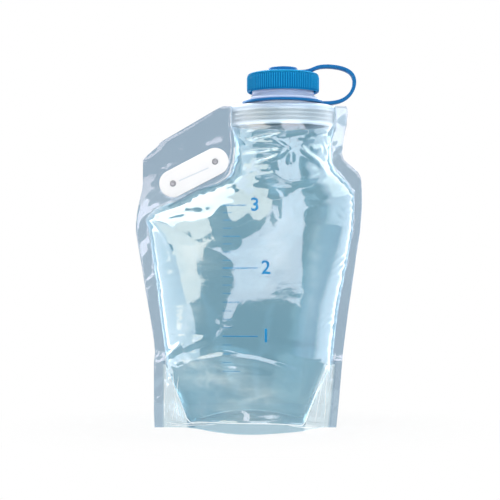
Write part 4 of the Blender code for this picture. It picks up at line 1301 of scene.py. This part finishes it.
def strapTree():
    # a soft-edged flat strap along the curve it is given
    tree, start, end = nodeTree("tetherStrap", [
        ("Width", "f"), ("Thick", "f"), ("Soft", "f"), ("Finish", "m"),
    ])
    flat = shapeNode(tree, "CurvePrimitiveQuadrilateral", Width=start["Width"], Height=start["Thick"])
    profile = shapeNode(tree, "FilletCurve", mode="POLY", Curve=flat, Radius=start["Soft"], Count=4)
    line = shapeNode(tree, "MeshToCurve", Mesh=start["Geometry"])
    bar = sweptBar(tree, shapeNode(tree, "SetCurveNormal", Curve=line), profile)
    return finishTree(tree, start, end, bar)


def flatRing(bore, width, foot, thick, lip=0.0, lipWall=0.0):
    rim = bore + width
    corners = [(bore, foot), (rim, foot), (rim, foot + max(thick, lip))]
    if lip:
        corners += [(rim - lipWall, foot + lip), (rim - lipWall - 0.0004, foot + thick)]
    corners.append((bore, foot + thick))
    profile = np.concatenate([
        roundedCorner(corner, before, after, tether["soft"])
        for corner, before, after in zip(corners, corners[-1:] + corners, corners[1:] + corners[:1])
    ])
    return latheRows([roundRow(r, z, tether["sides"]) for r, z in profile], True)


def strapMesh():
    points = [(x, 0.0, z) for x, z in strapRoute()]
    line = rawPiece("strapLine", points, [(k, k + 1) for k in range(len(points) - 1)])
    return applyTree(
        line, strapTree(), width=tether["strapWidth"], thick=tether["strapThick"],
        soft=tether["soft"], finish=tetherPlastic,
    )


def joinPieces(name, pieces):
    # several closed pieces become one object
    working = bmesh.new()
    for piece in pieces:
        working.from_mesh(piece.data)
    whole = pieceFrom(name, working, pieces[0].data.materials[0])
    whole.data.shade_smooth()
    for piece in pieces:
        bpy.data.objects.remove(piece)
    return whole


def softTether():
    gap, finish = pouch["gap"], tetherPlastic
    ring = flatRing(
        fitment["seatRadius"] + 2 * gap, tether["ringWidth"], seatZ + gap, tether["ringThick"],
    )
    eye = flatRing(
        cap["stud"] + gap, tether["eyeWidth"], eyeFoot, tether["eyeThick"], tether["eyeRim"],
        tether["eyeRimWall"],
    )
    parts = [makePiece("ringPart", *ring, finish), makePiece("eyePart", *eye, finish), strapMesh()]
    piece = joinPieces("tether_moulding", parts)
    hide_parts("tether_ring", "tether_eye", "tether_strap")
    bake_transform(piece)


softTether()
print("tether made")


# Grip plates and rivets
def slotOutline(start, way, length, radius, steps):
    # a slot with round ends, as (x, z) points
    square = np.array([-way[1], way[0]])
    return np.array([
        centre + radius * (math.cos(angle) * way + math.sin(angle) * square)
        for centre, first in ((start + way * length, -0.5), (start, 0.5))
        for angle in math.pi * (first + np.arange(steps + 1) / steps)
    ])


def outlineRow(outline, y):
    return np.stack([outline[:, 0], np.full(len(outline), y), outline[:, 1]], -1)


def cutWith(piece, shapes):
    cutters = [makePiece(f"cutter{k}", *shape, None) for k, shape in enumerate(shapes)]
    for cutter in cutters:
        change = piece.modifiers.new(cutter.name, "BOOLEAN")
        change.operation = "DIFFERENCE"
        change.solver = "EXACT"
        change.object = cutter
    settle(piece)
    for cutter in cutters:
        bpy.data.objects.remove(cutter)


def crispShade(piece, angle):
    # smooth shading with the steeper edges kept crisp
    piece.data.shade_smooth()
    working = bmesh.new()
    working.from_mesh(piece.data)
    for edge in working.edges:
        if len(edge.link_faces) == 2 and edge.calc_face_angle(0) > angle:
            edge.smooth = False
    working.to_mesh(piece.data)
    working.free()


def gripPlate(side, turn):
    soft, span, radius = grip["edgeRound"], grip["span"], grip["radius"]
    first, way = gripFrame()
    # how far the outline is drawn in at each depth, round the face's edge
    profile = [(0.0002, plateFoot), (0.0, plateFoot + 0.0002)]
    for t in math.pi / 2 * np.arange(6) / 5:
        profile.append((soft * (1 - math.cos(t)), plateFace - soft + soft * math.sin(t)))
    piece = makePiece(f"grip_{side}", *closedStack([
        outlineRow(slotOutline(first, way, span, radius - inset, grip["endSides"]), turn * y)
        for inset, y in profile
    ]), platePlastic)
    slant = wayAt(grip["angle"] + grip["slitTurn"])
    slit = slotOutline(
        first + slant * grip["slitStart"], slant, grip["slitLength"], grip["slitWidth"] / 2, 8,
    )
    cuts = [(slit, grip["slitLine"], grip["slitCut"])]
    circle = np.stack([np.cos(evenTurns(32)), np.sin(evenTurns(32))], -1)
    for place in gripLine():
        seat = np.array(place) + (grip["rivetRadius"] + grip["seatPlay"]) * circle
        cuts.append((seat, grip["seatDepth"], plateFace + grip["seatCut"]))
    cutWith(piece, [
        closedStack([outlineRow(outline, turn * y) for y in (plateFace - depth, far)])
        for outline, depth, far in cuts
    ])
    crispShade(piece, math.radians(38))
    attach(piece, "carrier")
    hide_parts(f"grip_plate_{side}")


def rivetTree():
    # the same domed rivet on every point of the line it is given
    tree, start, end = nodeTree("gripRivets", [("Rivet", "o"), ("Finish", "m")])
    part = addNode(tree, "GeometryNodeObjectInfo", Object=start["Rivet"]).outputs["Geometry"]
    rivets = shapeNode(tree, "InstanceOnPoints", Points=start["Geometry"], Instance=part)
    return finishTree(tree, start, end, rivets)


def rivetShape():
    # the rivet's profile from its face to the middle, mirrored for the other end
    face, radius, under = plateFace - grip["rivetSunk"], grip["rivetRadius"], grip["rivetHead"]
    half = [
        (0.0001, face - 0.00012), (0.0006, face - 0.00012), (0.0009, face + 0.00004),
        (0.0016, face + 0.00008), (0.0023, face), (radius - 0.0001, face - 0.0002),
        (radius, face - 0.0004), (radius, face - under), (grip["rivetShank"], face - under),
    ]
    turns = evenTurns(40)
    rows = [
        np.stack([r * np.cos(turns), np.full(40, y), r * np.sin(turns)], -1)
        for r, y in half + [(r, -y) for r, y in half[::-1]]
    ]
    return makePiece("rivetShape", *latheRows(rows, False, (True, True)), rivetMetal)


def gripRivets():
    piece = rawPiece("grip_rivets", [(x, 0.0, z) for x, z in gripLine()])
    shape = rivetShape()
    applyTree(piece, rivetTree(), rivet=shape, finish=rivetMetal)
    bpy.data.objects.remove(shape)
    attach(piece, "carrier")
    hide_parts("grip_rivet_lower", "grip_rivet_upper")


gripPlate("front", -1)
gripPlate("rear", 1)
gripRivets()
print("grip made")


# Volume scale printed on the front wall: plain lines and numbers
scale = dict(
    left=-24, minorRight=-16, minorThick=0.35, figureSize=0.0175, figureSwell=0.0002,
    figureGap=0.003, ink=0.00004, stand=0.00012, across=(-0.024, 0.026), up=(0.055, 0.219), step=0.0016,
    # height, right end and thickness in mm, and the figure beside the mark
    marks=(
        (210, -2, 0.55, "3"), (181, -8, 0.45, ""), (152, 8, 0.75, "2"), (121, -8, 0.45, ""),
        (90, 8, 0.75, "1"), (58, -8, 0.45, ""),
    ),
    minor=(203, 196, 188.5, 174, 166.5, 159, 144, 136.5, 129, 113, 105.5, 98, 82, 74, 66),
)


def scaleBar(working, right, z, thick):
    for vert in bmesh.ops.create_cube(working, size=1.0)["verts"]:
        x = right if vert.co.x > 0 else scale["left"]
        height = z + math.copysign(thick / 2, vert.co.z)
        vert.co = (x / 1000, math.copysign(scale["ink"], vert.co.y), height / 1000)


def scaleFigure(working, figure, right, z):
    text = bpy.data.curves.new("figure", "FONT")
    text.body = figure
    text.size = scale["figureSize"]
    text.extrude = scale["ink"]
    text.align_y = "CENTER"
    text.offset = scale["figureSwell"]
    written = linkObject("figure", text)
    mesh = settledMesh(written)
    bpy.data.objects.remove(written)
    before = set(working.verts)
    working.from_mesh(mesh)
    for vert in set(working.verts) - before:
        x, up, y = vert.co
        vert.co = (right / 1000 + scale["figureGap"] + x, -y, z / 1000 + up)


def printedScale(wall):
    # thin solid marks and figures, cut finely and laid on the wall
    working = bmesh.new()
    for z, right, thick, figure in scale["marks"]:
        scaleBar(working, right, z, thick)
        if figure:
            scaleFigure(working, figure, right, z)
    for z in scale["minor"]:
        scaleBar(working, scale["minorRight"], z, scale["minorThick"])
    for axis, ends in ((0, scale["across"]), (2, scale["up"])):
        normal = np.eye(3)[axis]
        for place in np.arange(*ends, scale["step"]):
            bmesh.ops.bisect_plane(
                working, geom=working.verts[:] + working.edges[:] + working.faces[:],
                plane_co=normal * place, plane_no=normal, dist=1e-7,
            )
    bmesh.ops.remove_doubles(working, verts=working.verts, dist=1e-7)
    bmesh.ops.triangulate(working, faces=working.faces)
    bpy.context.view_layer.update()
    for vert in working.verts:
        _, place, _, _ = wall.ray_cast((vert.co.x, -0.2, vert.co.z), (0.0, 1.0, 0.0))
        vert.co.y += place.y - scale["stand"]
    bmesh.ops.recalc_face_normals(working, faces=working.faces)
    piece = pieceFrom("volume_scale", working, printInk)
    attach(piece, "carrier")


printedScale(filmFront)
print("scale printed")


# Floor, backdrop and lamps. The lamps give the light; the cards stand only in the
# reflections. Angles are in degrees: azimuths are 0 in front and + to the right.
# Left and right are a card's azimuths, foot and top its elevations, and low and high
# trim these. A side is one angle, or angles at places along the other axis.
studio = dict(
    skyWhite=1.0, skyFill=0.50, floorTone=0.97, floorSize=0.56, floorOval=1.5, floorRough=0.9,
    shadowFrom=0.05, shadowReach=0.27, shadowFade=0.74, target=(0.0, 0.0, 0.18),
    # name, place, size and brightness
    lamps=(
        ("frontBox", (0.60, -1.60, 0.95), (1.6, 1.2), 3.3),
        ("leftBox", (-1.35, -0.70, 0.55), (0.9, 1.0), 1.0),
        ("topBox", (0.1, -0.1, 1.6), (1.2, 0.9), 1.5),
    ),
    # past deepWalls clear walls the cards show at deepShare, but for those right behind
    cardFill=0.45, deepShare=0.4, deepWalls=2.5, deepSide=0.7,
    cards=(
        # the large softbox in front, with a light patch low down to the left
        dict(
            tone=(6.6, 5.8, 6.1), soft=(1.2, 0.7), foot=-11.5, top=52,
            left=(
                (-10, -42), (-6.5, -33), (-5.7, -26), (-0.9, -20), (3.7, -15), (6.9, -8), (8.3, -3),
                (9.8, -1), (14, -3), (22, -7), (26, -10), (29, -14), (32, -19), (33.5, -30), (35, -50),
                (40, -52),
            ),
            right=((-5.9, 61), (-2.4, 53), (0.9, 48), (5.8, 43), (9.7, 39), (38, 38)),
            low=(
                (-44, -11), (-40, -9.3), (-27, -6.2), (-13, -4), (-3, 2.2), (-0.3, 4.8), (0.6, 5.9),
                (3, 5.6), (8, 4.9), (21, 3.3), (34, 0.3), (49, -3.1), (61, -5.9),
            ),
            high=(
                (-50, 50), (-34, 48), (-30, 47), (-27, 42), (-26, 34.8), (-12, 34.8), (-8, 29),
                (-5.5, 26.2), (-4.8, 26), (-4.2, 60),
            ),
        ),
        # warm wall at the left
        dict(
            tone=(8.2, 7.1, 6.1), soft=(2, 1.5), foot=-10.5, top=64,
            left=(
                (-9.5, -98), (-7.8, -92), (-7, -80), (-5, -78), (0, -84), (6, -80), (20, -100),
                (40, -70), (47, -60),
            ),
            right=(
                (-10.4, -95), (-9.3, -89), (-7, -83), (-5, -75), (-3.5, -66), (-2, -57), (-1, -53),
                (1, -51), (2.5, -45), (4, -40), (20, -31), (40, -23), (45, -25), (49, -33), (56, -32),
                (64, -50),
            ),
        ),
        dict(
            tone=(4.7, 4.6, 4.8), soft=(5, 6), foot=-34, top=40, left=-120,
            right=((-30, -60), (-9, -68), (0, -76)),
        ),
        dict(
            tone=(9.0, 8.8, 8.8), soft=(6, 6), foot=-40, top=80, left=-152,
            right=((0, -113), (14, -110), (24, -88), (70, -88)),
        ),
        # bright strips that show along the slot's seam and on the fold low at the left
        dict(tone=(13.0, 12.5, 12.3), soft=(3, 2.5), foot=53, top=82, left=-120, right=-52),
        dict(tone=(9.5, 9.3, 9.2), soft=(4, 4), foot=38, top=80, left=-176, right=-118),
        dict(tone=(7.5, 7.3, 7.2), soft=(3, 3), foot=10, top=32, left=-92, right=-50),
        dict(tone=(3.2, 3.1, 3.2), soft=(5, 5), foot=7, top=30, left=-114, right=-48),
        # fill from below for the fold under the neck
        dict(tone=(5.4, 4.8, 5.1), soft=(8, 7), foot=-46, top=-17, left=-46, right=24),
        # sides and back
        dict(
            tone=(7.6, 7.5, 7.4), soft=(7, 6), foot=-40, top=66, right=152,
            left=((0, 111), (12, 108), (24, 66), (70, 62)),
        ),
        dict(tone=(1.6, 1.6, 2.0), soft=(26, 10), foot=-26, top=26, left=58, right=120),
        dict(
            tone=(4.8, 4.7, 5.1), soft=(16, 6), foot=-36, top=50, right=140,
            left=((-30, 92), (-3, 92), (0, 82), (3, 66), (20, 58), (45, 58)),
        ),
        dict(tone=(1.0, 1.0, 1.0), soft=(12, 1), foot=-95, top=95, left=-190, right=-100),
        dict(tone=(1.0, 1.0, 1.0), soft=(12, 1), foot=-95, top=95, left=100, right=190),
    ),
)


def placeLamps():
    for name, place, size, glow in studio["lamps"]:
        data = bpy.data.lights.new(name, "AREA")
        data.shape = "RECTANGLE"
        data.size, data.size_y = size
        data.energy = math.pi * size[0] * size[1] * glow
        lamp = linkObject(name, data)
        lamp.location = place
        x, y, z = np.subtract(place, studio["target"])
        lamp.rotation_euler = (math.atan2(math.hypot(x, y), z), 0.0, math.atan2(y, x) + math.pi / 2)
        lamp.visible_glossy = False


def edgeLine(tree, value, places):
    # where a card's edge lies at each value of the other angle
    if np.size(places) == 1:
        return places
    keys, angles = zip(*places)
    low, span = min(angles), max(angles) - min(angles)
    curve = addNode(tree, "ShaderNodeFloatCurve", Value=mapRange(tree, value, keys[0], keys[-1]))
    line = curve.mapping.curves[0]
    for _ in places[2:]:
        line.points.new(0.5, 0.5)
    for point, (key, angle) in zip(line.points, places):
        point.location = ((key - keys[0]) / (keys[-1] - keys[0]), (angle - low) / span)
        point.handle_type = "VECTOR"
    curve.mapping.update()
    return calc(tree, "MULTIPLY_ADD", curve.outputs[0], span, low)


def cardMask(tree, around, rise, card):
    # 1 on the card, 0 beyond its soft edges
    across, over = card["soft"]
    mask = 1.0
    for side, value, other, soft in (
        ("left", around, rise, across), ("right", around, rise, -across), ("foot", rise, around, over),
        ("top", rise, around, -over), ("low", rise, around, over), ("high", rise, around, -over),
    ):
        if side in card:
            beyond = calc(tree, "SUBTRACT", value, edgeLine(tree, other, card[side]))
            edge = mapRange(tree, beyond, -soft / 2, soft / 2, shape="SMOOTHSTEP")
            mask = calc(tree, "MULTIPLY", edge, mask)
    return mask


def seenRays(tree):
    # 1 for what the camera sees, straight, mirrored or through clear film
    path = shaderNode(tree, "LightPath")
    seen = calc(tree, "MAXIMUM", path["Is Camera Ray"], path["Is Glossy Ray"])
    return calc(tree, "MAXIMUM", seen, path["Is Transmission Ray"])


def studioWorld():
    scene.world = bpy.data.worlds.new("studioWorld")
    scene.world.use_nodes = True
    tree = scene.world.node_tree
    way = shaderNode(tree, "SeparateXYZ", shaderNode(tree, "TexCoord")["Generated"])
    forward = calc(tree, "MULTIPLY", way["Y"], -1.0)
    around = calc(tree, "DEGREES", calc(tree, "ARCTAN2", way["X"], forward))
    rise = calc(tree, "DEGREES", calc(tree, "ARCSINE", way["Z"]))
    level = (studio["cardFill"],) * 3
    for card in studio["cards"]:
        lit = calcVector(tree, "MULTIPLY", card["tone"], cardMask(tree, around, rise, card))[0]
        level = calcVector(tree, "MAXIMUM", lit, level)[0]
    # what the far wall mirrors through the near one stays fainter
    path = shaderNode(tree, "LightPath")
    deep = calc(tree, "GREATER_THAN", path["Transmission Depth"], studio["deepWalls"])
    deep = calc(tree, "MULTIPLY", deep, calc(tree, "LESS_THAN", way["Y"], studio["deepSide"]))
    fade = calc(tree, "MULTIPLY_ADD", deep, studio["deepShare"] - 1, 1.0)
    mirrored = calc(tree, "GREATER_THAN", path["Glossy Depth"], 0.5)
    level = calcVector(tree, "MULTIPLY", level, fade)[0]
    shown = mixColours(tree, mirrored, (studio["skyWhite"],) * 3, level)
    whole = mixColours(tree, seenRays(tree), (studio["skyFill"],) * 3, shown)
    feed(tree, tree.nodes["Background"], Color=whole)


def studioFloor():
    # a soft shadow on a floor that is plain white to the camera farther out
    half = studio["floorSize"] / 2
    corners = [(half * x, half * y, 0.0) for x, y in ((-1, -1), (1, -1), (1, 1), (-1, 1))]
    floor = rawPiece("studioFloor", corners, [], [(0, 1, 2, 3)])
    finish, tree, shader = newFinish(
        "studioFloor", studio["floorRough"], Specular_IOR_Level=0.0,
        Base_Color=(studio["floorTone"],) * 3,
    )
    oval = shaderNode(tree, "Mapping", objectPlace(tree), Scale=(1.0, studio["floorOval"], 1.0))[0]
    reach = calcVector(tree, "LENGTH", oval)["Value"]
    away = mapRange(
        tree, reach, studio["shadowFrom"], studio["shadowReach"], studio["shadowFade"], 1.0, "SMOOTHSTEP",
    )
    share = calc(tree, "MULTIPLY", seenRays(tree), away)
    mixSurface(tree, share, shader, addNode(tree, "ShaderNodeEmission"))
    floor.data.materials.append(finish)


placeLamps()
studioWorld()
studioFloor()
print("studio ready")
